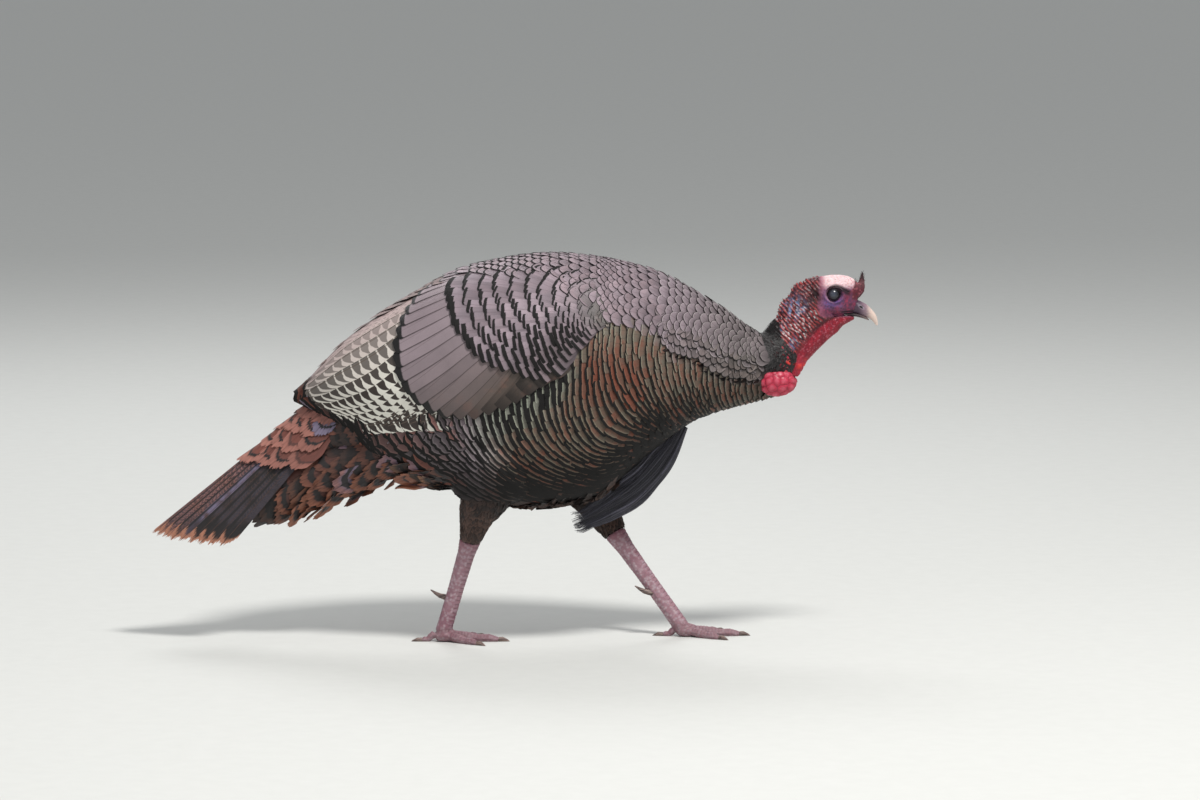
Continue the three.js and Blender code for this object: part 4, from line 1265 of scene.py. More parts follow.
def tail_finish(name):
    made = Finish(name)
    u, v = made.vane()
    marks = made.vertex("marks")
    inner, sheen, _ = made.split(marks)
    where = made.place()
    fine = made.noise(where, 800.0, 2.0)
    wide = made.noise(where, 40.0, 3.0)
    ripple = (v * 330 + u * u * 14 + wide * 30 + fine * 5).wave()
    brown = made.mix(rgb(140, 96, 88), rgb(58, 42, 40), ripple.rise(0.35, 0.7))
    # outer feathers near black with faint bars: painted shade of the fan's lower side
    outer_in_shade = made.mix(rgb(26, 20, 20), rgb(64, 47, 38), ripple.rise(0.65, 0.9) * 0.6)
    color = made.mix(outer_in_shade, brown, inner)
    color = made.mix(color, rgb(118, 112, 140), sheen * wide.rise(0.3, 0.6) * 0.7)
    edging = u.rise(0.50, 0.66) * (1 - u.rise(0.86, 0.97) * 0.6)
    color = made.mix(color, rgb(20, 16, 16), edging * 0.9)
    ragged = v + (fine - 0.5) * 0.03 + u * 0.008
    color = made.mix(color, rgb(22, 18, 18), ragged.rise(0.84, 0.88) * (1 - inner * 0.75) * 0.85)
    tip = ragged.rise(0.955, 0.98)
    color = made.mix(color, made.mix(rgb(140, 84, 62), rgb(184, 132, 108), fine), tip)
    shaft = 1 - u.size().rise(0.02, 0.06)
    color = made.mix(color, rgb(66, 44, 36), shaft * 0.9)
    barb = ((v * 160 - u.size() * 18) * 6.283).wave()
    return made.surface(
        Base_Color=color, Roughness=0.5 + fine * 0.15, Metallic=0.1,
        Normal=made.bump(barb * 0.6 + fine * 0.3, 0.35, 0.0004),
    )


# %% Tail feathers
centre = (np.arange(TAIL_FEATHERS) + 0.5) * 2 / TAIL_FEATHERS - 1
n = TAIL_FEATHERS
t = np.linspace(0.08, 1.0, 49)[None, :, None]
TAIL_U = np.linspace(-1, 1, 35)
u = TAIL_U[None, None, :]
outward = np.where(centre > 0, 1.0, -1.0)[:, None, None]
edge_t = 1 - 0.05 * np.abs(u) ** 1.6 + rng.uniform(-0.022, 0.006, (n, 1, len(TAIL_U)))
run = t * (1 - (1 - edge_t) * smooth(t, 0.5, 1.0))
f = np.clip(centre[:, None, None] * 0.94 + 0.088 * u * (0.6 + 0.4 * smooth(t, 0.0, 0.5)), -1, 1)
place, out = tail_place(f, run)
rank = (n / 2 - 0.5 - np.abs(np.arange(n) - (n - 1) / 2))[:, None, None] / (n / 2)  # 1 in the middle
thick = (5 + (1.6 - 5) * run) / 2
height = thick * (2 * rank - 1) * 0.7 - 0.9 * u * outward * (1 - 0.4 * run) - 0.4 * u * u
height = height + 0.7 * np.exp(-((u / 0.06) ** 2)) * (1 - 0.6 * run)
points = place + out * height[..., None]
inner = smooth(1 - np.abs(centre), 0.35, 0.75)
chance = rng.uniform(0, 1, n)
sheen = np.where(np.abs(np.abs(centre) - 0.5) < 0.06, 1.0, 0.15)
tail_batch = {
    "points": points, "tint": np.ones((n, 3)), "marks": np.stack([inner, sheen, chance, chance], 1), "u": TAIL_U,
    "place": np.stack([0.02 + 0.96 * np.arange(n) / n, np.full(n, 0.02)], 1), "patch": np.array([0.048, 0.95]),
}
grid_mesh("tail_feathers", [tail_batch], tail_finish("tail_plumage"), ["tail_fan"])

# %% [markdown]
# The coverts above the tail are broad, loose and chestnut. Each has a short black bar before a wide
# frayed tip, and the rows climb under the wings. Below the tail they are dusky and hang in lobes.

# %% Finish of loose feathers


def loose_finish(name, bar, bar_dark, tip, rough=0.6):
    """Soft feathers: streaked by parting barbs, with a dark bar before a paler tip."""
    made = Finish(name)
    u, v = made.vane()
    tint, marks = made.vertex("tint"), made.vertex("marks")
    dark, pale, chance = made.split(marks)
    where = made.place()
    fine = made.noise(where, 700.0, 2.0)
    wide = made.noise(where, 70.0, 3.0)
    spread = made.node("ShaderNodeCombineXYZ", None, [u * (5 - v * 1.5), v * 0.8, chance * 9])
    strand = made.noise(spread, 3.4, 3.0, 0.6)
    tone = strand * 1.1 + fine * 0.2 + wide * 0.25 + 0.20
    lit = made.toned(tint, tone)
    tipped = made.toned(tip, tone)
    color = made.mix(lit, tipped, v.rise(0.74, 0.92) * pale)
    bend = v + u * u * 0.07 + (strand - 0.5) * 0.06
    barred = bend.rise(bar[0], bar[0] + 0.04) * (1 - bend.rise(bar[1], bar[1] + 0.04)) * dark
    color = made.mix(color, rgb(22, 18, 20), barred * bar_dark)
    shaft = 1 - u.size().rise(0.02, 0.07)
    color = made.mix(color, made.tinted(color, (0.5, 0.42, 0.4, 1)), shaft * 0.5)
    return made.surface(
        Base_Color=color, Roughness=rough, Metallic=0.05, Sheen_Weight=0.12,
        Normal=made.bump(strand * 0.8 + fine * 0.3, 0.5, 0.0008),
    )


# %% Rows above the tail
chestnut = loose_finish("chestnut_plumage", (0.765, 0.835), 1.0, rgb(166, 112, 100))
COVERT_TAIL_ROWS = [-0.03, 0.045, 0.12, 0.20, 0.28, 0.365, 0.46, 0.56]  # shares of the tail's length
spots = []
for k, reach in enumerate(COVERT_TAIL_ROWS):
    number = 8 + (k % 2)
    for i in range(number):
        f = -1.0 + 2.0 * (i + 0.5) / number
        spots.append((reach - 0.09 * abs(f) ** 2 + rng.normal(0, 0.008), f + rng.normal(0, 0.02), k))
reach, f, k = np.array(spots).T
n = len(f)
chance = rng.uniform(0, 1, n)
color = mixed(rgb(124, 66, 54), rgb(88, 49, 42), np.clip(np.abs(f) * 0.9 + 0.3 * (chance - 0.5), 0, 1))
color = color * (1 - 0.55 * (1 - smooth(reach, 0.0, 0.16)))[:, None]
silvery = (chance > np.where(reach < 0.15, 0.55, 0.9)) & (np.abs(f) > 0.3)
color = mixed(color, rgb(116, 106, 128), silvery)
pale = (1 - 0.55 * np.abs(f)) * smooth(reach, 0.0, 0.2) * ~silvery
marks = np.stack([0.6 + 0.4 * (chance > 0.3), pale, chance, chance], 1)
covert_lift = 4.2 - 2.4 * reach + 0.25 * (len(COVERT_TAIL_ROWS) - k) + 15 * (1 - smooth(reach, -0.04, 0.24))
upper = lay(
    fan_skin, reach * LONGEST, f, np.full(n, -1.0), np.stack([1 + 0 * f, rng.normal(0, 0.0016, n)], 1),
    length=80 + 26 * reach, width=46 - 8 * np.abs(f), sink=3.8, tint=color, marks=marks, nu=36, nv=12, square=2.2,
    corner=0.26, camber=1.2, roll=-1.0 * np.sign(f), lift=rng.uniform(0, 1.4, n), fray=6.0,
)
out = fan_skin.look(reach * LONGEST, f)[:, 9:12]
upper["points"] = upper["points"] + (out * (covert_lift + 1.5)[:, None])[:, None, None, :]
upper["place"] = np.stack([0.02 + 0.95 * reach, 0.5 + 0.46 * np.clip(f, -1, 1)], 1)
grid_mesh("tail_coverts_top", [upper], chestnut, ["tail_coverts_upper"])

# %% [markdown]
# The feathers below the tail hang from two tubes: one follows the plumage back and down under the
# fan, and a shorter one fills the gap above it, so no hole shows from behind.

# %% Fluff under the tail
UNDER_TAIL = [
    ((-112, 0, 262), 82, 44, 40), ((-172, 0, 274), 68, 42, 44), ((-232, 0, 260), 52, 48, 50),
    ((-288, 0, 240), 44, 46, 52), ((-335, 0, 218), 37, 38, 48), ((-366, 0, 190), 27, 28, 34),
    ((-386, 0, 168), 12, 12, 12),
]
TOP_UP = (0, -1, 0)  # the side direction that turns a backward tube's quarter point up
under_skin = TubeSkin(UNDER_TAIL, TOP_UP)
a, b = under_skin.rows(14, under_skin.length + 4, 20, 26)
from_top = np.abs((b % 1.0) - 0.25)
seen = from_top > 0.20 * smooth(a, 110, 190)  # the fan covers the rest
a, b, from_top = a[seen], b[seen], from_top[seen]
n = len(a)
chance = rng.uniform(0, 1, n)
end = smooth(a, 235, 275)
lobes = bell(np.abs((b % 1.0) - 0.75), 0.15) * (1 - end)
color = painted(mixed(rgb(34, 25, 24), rgb(86, 47, 39), chance**1.2), [
    (rgb(112, 98, 116), (chance > 0.9) & (a < 170)), (rgb(38, 29, 27), end),
])
pale = np.clip(0.04 + 0.2 * chance + 0.95 * lobes, 0, 1) * (1 - 0.6 * end)
below = smooth(from_top, 0.1, 0.4)
hang = (rng.uniform(-2, 2.5, n) + 15 * lobes * smooth(chance, 0.35, 0.9)) * below - 4 * (1 - below)
under = tube_batch(
    under_skin, a, b, length=rng.uniform(54, 68, n), width=rng.uniform(38, 48, n), sink=8.0, tint=color,
    marks=np.stack([0.5 + 0.5 * (chance > 0.2), pale, chance, chance], 1), nu=20, nv=8, square=2.0, corner=0.34,
    camber=1.5, roll=rng.normal(0, 1.2, n), lift=hang, fray=6.5, base=-2.0,
)
FILL_TUBE = [((-176, 0, 318), 74, 46, 50), ((-232, 0, 306), 52, 40, 44), ((-285, 0, 286), 32, 30, 34)]
fill_skin = TubeSkin(FILL_TUBE, TOP_UP)
a, b = fill_skin.rows(10, fill_skin.length + 6, 14, 20)
n = len(a)
chance = rng.uniform(0, 1, n)
rump = tube_batch(
    fill_skin, a, b, length=rng.uniform(40, 50, n), width=rng.uniform(26, 32, n), sink=7.0,
    tint=mixed(rgb(44, 32, 30), rgb(104, 60, 50), chance**1.4),
    marks=np.stack([1 + 0 * a, 0.3 * chance, chance, chance], 1), nu=12, nv=8, square=2.0,
    corner=0.3, camber=1.5, lift=rng.uniform(-1, 1.5, n), fray=5.0, base=-2.0,
)
dusky = loose_finish("dusky_plumage", (0.60, 0.78), 0.95, rgb(150, 92, 66))
grid_mesh("tail_coverts_below", [under, rump], dusky, ["tail_coverts_under"])

# %% [markdown]
# ## Thighs, tufts, collar and beard
# Short plush feathers cover the thigh and end in a ragged cuff at each hock. The thigh is a tube, so
# they are laid on it ring by ring.

# %% Thighs
plush = loose_finish("dark_plumage", (0.5, 0.6), 0.15, rgb(104, 78, 66), 0.7)
for name, leg in LEGS.items():
    thigh_skin = TubeSkin([
        ((x, leg["side"] * thigh_y(i), z), half, rise, rise) for i, (x, z, rise, half) in enumerate(leg["thigh"])
    ])
    a, b = thigh_skin.rows(12, thigh_skin.length + 5, 4.6, 5.2)
    n = len(a)
    chance = rng.uniform(0, 1, n)
    color = mixed(rgb(38, 28, 26), rgb(74, 53, 46), chance) * (0.45 + 0.55 * smooth(a, 25, 70))[:, None]
    marks = np.stack([0.4 * chance, 0.5 * chance * smooth(a, 25, 60), chance, chance], 1)
    cuff = smooth(a, thigh_skin.length - 16, thigh_skin.length)
    batch = tube_batch(
        thigh_skin, a, b, length=rng.uniform(15, 21, n) + 5 * rng.uniform(-0.4, 1, n) * cuff,
        width=rng.uniform(7, 10, n), sink=3.4, tint=color, marks=marks, nu=6, nv=4, square=2.0, corner=0.4,
        camber=0.6, roll=rng.normal(0, 0.6, n), lift=rng.uniform(-0.3, 1.3, n), fray=2.4, base=-0.8,
    )
    grid_mesh(f"thigh_feathers_{name}", [batch], plush)

# %% [markdown]
# Loose tips hang from the belly between the legs, and a rusty bunch from the flank behind the thigh.
# They are scattered rather than laid in rows, because nothing there is in order.

# %% Tufts under the belly and the flank
TUFTS = [  # from x, to x, from share, length, width, lift, number
    (-70, 140, 0.90, 24, 9, 5, 330),
    (-176, -112, 0.80, 36, 17, 8, 56),
]
tufts = []
for x0, x1, share0, length, width, lift, number in TUFTS:
    x, share = rng.uniform(x0, x1, number), rng.uniform(share0, 1.0, number)
    side = rng.choice([-1.0, 1.0], number)
    chance = rng.uniform(0, 1, number)
    rusty = smooth(-x, 90, 120)
    tufts.append(lay(
        body_skin, x, share, side, np.stack([-1 + 0 * x, rng.normal(0.0, 0.0012, number)], 1),
        length=length * rng.uniform(0.8, 1.2, number), width=width, sink=3.0,
        tint=mixed(rgb(28, 23, 22), rgb(66, 46, 40), chance) * (1 + 0.15 * rusty[:, None]),
        marks=np.stack([0.2 + 0.8 * rusty, 0.1 * chance + 0.6 * rusty * chance, chance, chance], 1), nu=10, nv=6,
        square=2.0, corner=0.35, camber=0.8, roll=rng.normal(0, 1.2, number), lift=lift * rng.uniform(0, 1, number),
        fray=5.0, base=2.0,
    ))
grid_mesh("belly_tufts", tufts, loose_finish("belly_plumage", (0.5, 0.7), 0.9, rgb(150, 106, 78)))

# %% [markdown]
# Where bare neck meets plumage, hundreds of hair-fine black feathers stand in a ruff. At that size
# one strip of faces a hair is enough, laid like any other vane.

# %% Collar
COLLAR = [((345, 0, 396), 38, 43, 46), ((364, 0, 404), 34, 42, 42), ((379, 0, 417), 28, 36, 34),
          ((386, 0, 427), 24, 29, 27)]
RUFF_HAIRS = 2600
collar_skin = TubeSkin(COLLAR)
hair = loose_finish("black_plumage", (0.5, 0.6), 0.1, rgb(70, 66, 66), 0.5)
n = RUFF_HAIRS
a = rng.uniform(2, collar_skin.length + 1, n)
b = rng.uniform(0, 1, n)
chance = rng.uniform(0, 1, n)
color = mixed(rgb(16, 14, 15), rgb(48, 45, 46), chance**2)
ruff = lay(
    collar_skin, a, b, np.full(n, -1.0), np.stack([0 * a - 1, rng.normal(0, 0.0016, n)], 1),
    length=rng.uniform(9, 17, n), width=rng.uniform(0.9, 1.9, n), sink=-0.4 + 1.6 * rng.uniform(0, 1, n), tint=color,
    marks=np.stack([0 * a, chance * 0.3, chance, chance], 1), nu=1, nv=4, square=2.0, corner=0.0, camber=0.0,
    lift=rng.uniform(0.2, 2.2, n), root=0.9, base=0.3,
)
ruff["place"] = bake_spot(a / collar_skin.length, b)
grid_mesh("collar_ruff", [ruff], hair)

# %% [markdown]
# The beard is made of stiff bristles in locks, so each is a three-sided tube that follows the
# bundle's middle line at its own distance, sways with its lock and strays near its end.

# %% Beard
BEARD = [
    ((246, 0, 308), 5, 5, 16), ((228, 0, 276), 11, 11, 27), ((203, 0, 242), 15, 17, 35), ((170, 0, 212), 16, 21, 34),
    ((136, 0, 191), 14, 19, 24), ((106, 0, 174), 9, 12, 14), ((84, 0, 164), 4, 5, 8),
]
STRANDS, STRAND_STEPS, LOCKS = 1100, 26, 64
center, side_way, up, half, rise, drop = tube_frame(BEARD, 80)
lock = rng.integers(0, LOCKS, STRANDS)
lock_angle, lock_radius, lock_stop = (rng.uniform(0, 1, LOCKS) for _ in range(3))
lock_angle, lock_radius = lock_angle * 2 * math.pi, lock_radius ** 0.5
angle = lock_angle[lock] + rng.normal(0, 0.16, STRANDS)
radius = np.clip(lock_radius[lock] + rng.normal(0, 0.09, STRANDS), 0.05, 1.0)
stop = 1.0 - 0.26 * lock_stop[lock] ** 1.3 - 0.30 * rng.uniform(0, 1, STRANDS) ** 1.6
t = np.linspace(0, 1, STRAND_STEPS + 1)[None] * stop[:, None]


def three_sided(side, up):
    """A closed triangle's corners round a hair, one millimetre out."""
    corner = np.radians([90, 210, 330, 450])[:, None]
    return side * np.cos(corner) + up * np.sin(corner)


def on_path(values, t):
    """Values along the bundle, read at t from 0 at its root to 1 at its end."""
    grid = np.linspace(0, 1, len(values))
    if values.ndim == 1:
        return np.interp(t, grid, values)
    return np.stack([np.interp(t, grid, values[:, k]) for k in range(3)], -1)


sway = 0.14 * np.sin(t * 8 + 5 * lock[:, None]) + 0.05 * np.sin(t * 23 + radius[:, None] * 9)
loose = rng.normal(0, 0.13, (2, STRANDS, 1)) * smooth(t, 0.45, 1.0)
ring = radius[:, None] * (1 + 1.1 * smooth(t, 0.80, 1.0)) + sway * 0.6
across = on_path(half, t) * (np.cos(angle)[:, None] * ring + loose[0])
tall = np.where(np.sin(angle)[:, None] > 0, on_path(rise, t), on_path(drop, t))
tall = tall * (np.sin(angle)[:, None] * ring + loose[1])
middle = on_path(center, t) + on_path(side_way, t) * across[..., None] + on_path(up, t) * tall[..., None]
thick = 0.5 * (1 - 0.75 * smooth(t, 0.6 * stop[:, None], stop[:, None])) + 0.08
sides = on_path(side_way, t)[:, :, None], on_path(up, t)[:, :, None]
chance = rng.uniform(0, 1, STRANDS)
# the pale blue-grey strands, more towards the beard's outside, are painted highlights
lit = np.clip(0.6 * chance + 0.4 * lock_radius[lock], 0, 1) ** 2.4
beard_batch = {
    "points": middle[:, :, None] + three_sided(*sides) * thick[..., None, None],
    "tint": mixed(rgb(24, 23, 29), rgb(112, 110, 128), lit),
    "marks": np.stack([0 * chance, 0 * chance, chance, chance], 1), "place": bake_spot(angle / 2 / math.pi, radius),
}
bristle = Finish("bristle")
ripple = bristle.noise(bristle.place(), 260.0, 2.0)
bristle.surface(
    Base_Color=bristle.toned(bristle.vertex("tint"), ripple * 0.8 + 0.55),
    Roughness=0.34 + ripple * 0.12, Specular_IOR_Level=0.6,
)
grid_mesh("beard_strands", [beard_batch], bristle.material, ["beard"])

# %% [markdown]
# ## One skin under the coat
# Copies of the flesh solids are melted together with a voxel remesh, so no joint shows between head,
# neck and lobes. The covered body is coarse and pulled in by the depth of the coat. The bare head
# and feet are fine, because folds, beads and scales are pushed into them point by point.

# %% Melt solids together
BODY_FLESH = ["trunk", "neck_feathers", "collar", "thigh_right", "thigh_left"]
HEAD_FLESH = ["head", "neck", "wattle", "snood", "caruncle_right", "caruncle_left", "caruncle_front", "collar"]
FOOT_FLESH = [n for n in sorted(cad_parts) if n.startswith(("tarsus", "toe"))]


def points_of(mesh):
    """A mesh's points in millimetres and its outward directions there."""
    co, normal = np.empty((2, len(mesh.vertices) * 3))
    mesh.vertices.foreach_get("co", co)
    mesh.vertex_normals.foreach_get("vector", normal)
    return co.reshape(-1, 3) / MM, normal.reshape(-1, 3)


def melted(nodes, voxel, swell, rounds, fillers=()):
    """A joined copy of the nodes and filler balls, remeshed at voxel mm and smoothed."""
    joined = bmesh.new()
    for at, radii in fillers:
        move = Matrix.Translation(Vector(at) * MM) @ Matrix.Diagonal((*(r * MM for r in radii), 1))
        bmesh.ops.create_uvsphere(joined, u_segments=48, v_segments=32, radius=1.0, matrix=move)
    for node in nodes:
        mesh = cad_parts[node].data.copy()
        weld = bmesh.new()
        weld.from_mesh(mesh)
        bmesh.ops.remove_doubles(weld, verts=weld.verts, dist=1e-6)
        weld.to_mesh(mesh)
        weld.free()
        co, out = points_of(mesh)
        mesh.vertices.foreach_set("co", ((co + out * swell) * MM).ravel())
        joined.from_mesh(mesh)
        bpy.data.meshes.remove(mesh)
    mesh = bpy.data.meshes.new("melt")
    joined.to_mesh(mesh)
    joined.free()
    thing = bpy.data.objects.new("melt", mesh)
    bpy.context.scene.collection.objects.link(thing)
    remesh = thing.modifiers.new("voxels", "REMESH")
    remesh.mode = "VOXEL"
    remesh.voxel_size = voxel * MM
    ease = thing.modifiers.new("ease", "SMOOTH")
    ease.factor = 0.5
    ease.iterations = rounds
    bpy.context.view_layer.update()
    made = bpy.data.meshes.new_from_object(thing.evaluated_get(bpy.context.evaluated_depsgraph_get()))
    bpy.data.objects.remove(thing)
    print(nodes[0], "and", len(nodes) - 1, "more:", len(made.vertices), "points")
    return made


body_mesh = melted(BODY_FLESH, 5.0, 0.3, 6, [((-225, 0, 305), (60, 34, 32))])
co, out = points_of(body_mesh)
thigh_part = smooth(225 - co[:, 2], 0, 40)
depth = 8.0 * (1 - thigh_part) + 4.2 * thigh_part
depth = np.minimum(depth, 0.42 * flank(co[:, 0]))
depth = depth * (1 - 0.35 * smooth(co[:, 0], 340, 372))
body_mesh.vertices.foreach_set("co", ((co - out * depth[:, None]) * MM).ravel())
NAPE = [((427, 0, 504), (16, 13, 18)), ((414, 0, 494), (17, 14, 22)), ((396, 0, 470), (16, 17, 24))]
head_mesh = melted(HEAD_FLESH, 0.85, 0.35, 9, NAPE)
foot_mesh = melted(FOOT_FLESH, 1.15, 0.3, 5)

# %% [markdown]
# ## Folds, beads and lids of the head
# Bare turkey skin is a landscape: a smooth pale crown, a brow fold over a large dark eye, broken
# ridges round the neck, grains on the throat and heavy lobes at its foot. Each is a height over the
# smooth form, worked out for every point, and the same heights choose the colours.

# %% Helpers for heights


def near(points, seeds):
    """Distance to the nearest and to the second seed, and which seed it is."""
    tree = kdtree.KDTree(len(seeds))
    for i, seed in enumerate(seeds):
        tree.insert(seed, i)
    tree.balance()
    first, second, which = (np.zeros(len(points)) for _ in range(3))
    for i, point in enumerate(points):
        found = tree.find_n(point, 2)
        first[i], second[i], which[i] = found[0][2], found[1][2], found[0][1]
    return first, second, which.astype(int)


STEPS_ROUND = list(itertools.product((-1, 0, 1), repeat=3))


def spaced(points, gap, seed):
    """Points of a surface at least gap apart, in a random order."""
    order = np.random.default_rng(seed).permutation(len(points))
    cells, chosen = {}, []
    for i in order:
        key = tuple((points[i] // gap).astype(int))
        around = [j for step in STEPS_ROUND for j in cells.get(tuple(k + d for k, d in zip(key, step)), ())]
        if all(np.sum((points[j] - points[i]) ** 2) >= gap * gap for j in around):
            cells.setdefault(key, []).append(i)
            chosen.append(i)
    return points[chosen]


def lumps(points, gap, seed, sample=0.35):
    """Round grains gap apart: 1 on top of a grain and 0 between them, and a random number each."""
    pick = np.random.default_rng(seed).random(len(points)) < sample
    seeds = spaced(points[pick], gap, seed)
    first, second, which = near(points, seeds)
    dome = np.clip(1 - (first / (0.5 * (first + second) + 1e-9)) ** 2.2, 0, 1)
    return dome, np.random.default_rng(seed + 1).random(len(seeds))[which]


def waves(points, scale, seed):
    """A slow random field between -1 and 1."""
    spin = np.random.default_rng(seed).normal(size=(7, 4))
    return sum(np.sin((points @ w[:3]) / scale + 6.28 * w[3]) for w in spin) / 3.6


def line_distance(px, pz, pairs):
    """Signed distance to a line in the side view (above is positive), and where along it."""
    best, sign, where = np.full(len(px), 1e9), np.ones(len(px)), np.zeros(len(px))
    pairs = np.array(pairs, float)
    for i in range(len(pairs) - 1):
        a, b = pairs[i], pairs[i + 1]
        ab = b - a
        t = np.clip(((px - a[0]) * ab[0] + (pz - a[1]) * ab[1]) / (ab @ ab), 0, 1)
        dx, dz = px - a[0] - t * ab[0], pz - a[1] - t * ab[1]
        distance = np.hypot(dx, dz)
        closer = distance < best
        best = np.where(closer, distance, best)
        sign = np.where(closer, np.sign(ab[0] * dz - ab[1] * dx), sign)
        where = np.where(closer, (i + t) / (len(pairs) - 1), where)
    return best * sign, where


# %% Regions of the head and neck
EYE = np.array([459.4, 10.9, 499.6])
EYE_R = 9.4
LID_R = 8.7
FOLD_PITCH = 5.8
SEAM_Z = [392, 419, 442, 458, 472]  # heights at which the hairy back of the neck is marked off
co, out = points_of(head_mesh)
px, py, pz = co.T
ay = np.abs(py)
neck_run = (px - 372) * 0.55 + (pz - 405) * 0.83  # millimetres up the neck
skull_back = np.interp(pz, [461, 476, 490, 509, 520], [447, 438, 438, 440, 441])
skull = smooth(px - skull_back + 1.4 * waves(co, 4, 33), -5, 4) * smooth(pz, 464, 472)
throat_line, _ = line_distance(px, pz, [(396, 392), (412, 420), (432, 447), (452, 463), (476, 470)])
throat = smooth(-throat_line, -7, 3) * (1 - skull)
lobe = smooth(393 - pz, 0, 8) * smooth(px, 350, 356)
lobe = lobe * smooth(18 - np.hypot((px - 377.5) / 1.35, pz - 374.5), -3, 4)
lobe = np.maximum(lobe, bell(np.hypot(px - 396, pz - 372), 13))
snoodish = smooth(pz, 508, 514) * smooth(px, 488, 493)
neck_skin = (1 - skull) * (1 - throat) * (1 - lobe)

# %% Ridges, grains and lumps
flow = np.stack([(0.73 * pz - 0.69 * px) * 0.42, py * 0.8, neck_run + 0.33 * (px - 420)], 1)
grain, grain_chance = lumps(flow, 2.0, 3, 0.5)
small, small_chance = lumps(co, 1.7, 4, 0.5)
boulder, boulder_chance = lumps(co, 7.5, 5, 0.06)
warp = waves(co, 9, 6)
mottle, speckle = waves(co, 2.3, 41), waves(co, 1.3, 42)
fold = neck_run + 0.33 * (px - 420) + warp * 1.6 + 0.9 * waves(co, 3.6, 34)
ridge = np.clip(0.5 + 0.5 * np.cos(2 * np.pi * fold / FOLD_PITCH), 0, 1) ** 1.3
broken = smooth(waves(co, 3.0, 7), -0.5, 0.3)
height = neck_skin * (ridge * (0.25 + 0.75 * broken) * 1.35 + grain * 0.45 * (0.4 + ridge) - 0.35)
height += throat * (small * 0.75 + 0.25 * warp)
big_lump = boulder * (boulder_chance > 0.35)
lower_neck = smooth(34 - neck_run, 0, 18) * (1 - lobe) * (1 - skull)
band_edge = np.interp(pz, SEAM_Z, [379, 385, 384, 381, 372]) + 1.5 * warp
covered = smooth(band_edge - px, -1.5, 1.5) * smooth(pz, 391, 395) * (1 - smooth(pz, 468, 474)) * (1 - lobe)
height += lower_neck * (big_lump * 1.5 - 0.3) * (1 - covered)
height += lobe * (boulder * 1.15 + small * 0.22 - 0.5) + 4.5 * smooth(lobe, 0.3, 0.9) * smooth(ay, 8, 18)
height += skull * (0.16 * waves(co, 2.2, 8) + 0.10 * small)
height += snoodish * (0.35 * small + 0.25 * waves(co * [1, 1, 3], 3, 9))

# %% Brow, lower lid, ear, gape and cheek
side_face = smooth(ay, 7, 11) * skull
brow_line = through([
    (444, 500.5), (449, 506.8), (455, 511.0), (462, 512.6), (469, 510.4), (477, 506.0), (487, 501.5),
])
brow, brow_at = (pz - brow_line(px)) * 0.88, (px - 446) / 40
brow_on = side_face * smooth(brow_at, 0.0, 0.15) * (1 - smooth(brow_at, 0.85, 1.0))
height += brow_on * (1.7 * bell(brow - 2.2, 2.0) - 1.4 * bell(brow + 0.6, 1.2))
height += side_face * 0.22 * waves(co, 1.3, 31) * smooth(np.hypot(px - EYE[0], pz - EYE[2]), 10, 13)
under, under_at = line_distance(px, pz, [(449, 492), (454, 488), (461, 486.5), (469, 489), (474, 494)])
height += side_face * smooth(under_at, 0, 0.15) * (1 - smooth(under_at, 0.85, 1)) * (
    0.7 * bell(under - 1.4, 1.3) - 0.6 * bell(under + 0.4, 0.7))
ear = np.hypot(px - 433.5, (pz - 500) / 1.5)
height += smooth(ay, 6, 10) * (bell(ear - 5.2, 1.6) - 2.2 * bell(ear, 3.2))
gape, _ = line_distance(px, pz, [(470, 473.5), (478, 474.8), (490, 475.0)])
height += smooth(ay, 3, 6) * smooth(px, 468, 472) * (-1.4 * bell(gape, 0.8) + 0.5 * bell(np.abs(gape) - 1.8, 1.0))
cheek, _ = line_distance(px, pz, [(440, 486), (450, 480), (462, 477), (472, 477)])
height += side_face * (0.45 * bell(cheek, 2.0) - 0.35 * bell(cheek + 2.6, 0.9))

# %% Seats for the eyes
around_eye = np.hypot(px - EYE[0], (pz - EYE[2]) * 1.06)
ball = EYE[1] + np.sqrt(np.clip(EYE_R**2 - around_eye**2, 0.5, None))
co = co + out * height[:, None]
ay = np.abs(co[:, 1])
at_eye = (around_eye < 13) & (ay > 7)
rim = ball + 0.35 + 0.5 * bell(around_eye - 9.9, 0.9)
blend = smooth(around_eye, 9.6, 13.5)
wanted = np.where(around_eye < LID_R, 11.5, np.minimum(rim, 19.5) * (1 - blend) + ay * blend)
ay = np.where(at_eye, wanted, ay)
co[:, 1] = np.where(at_eye, np.sign(co[:, 1]) * ay, co[:, 1])
head_mesh.vertices.foreach_set("co", (co * MM).ravel())

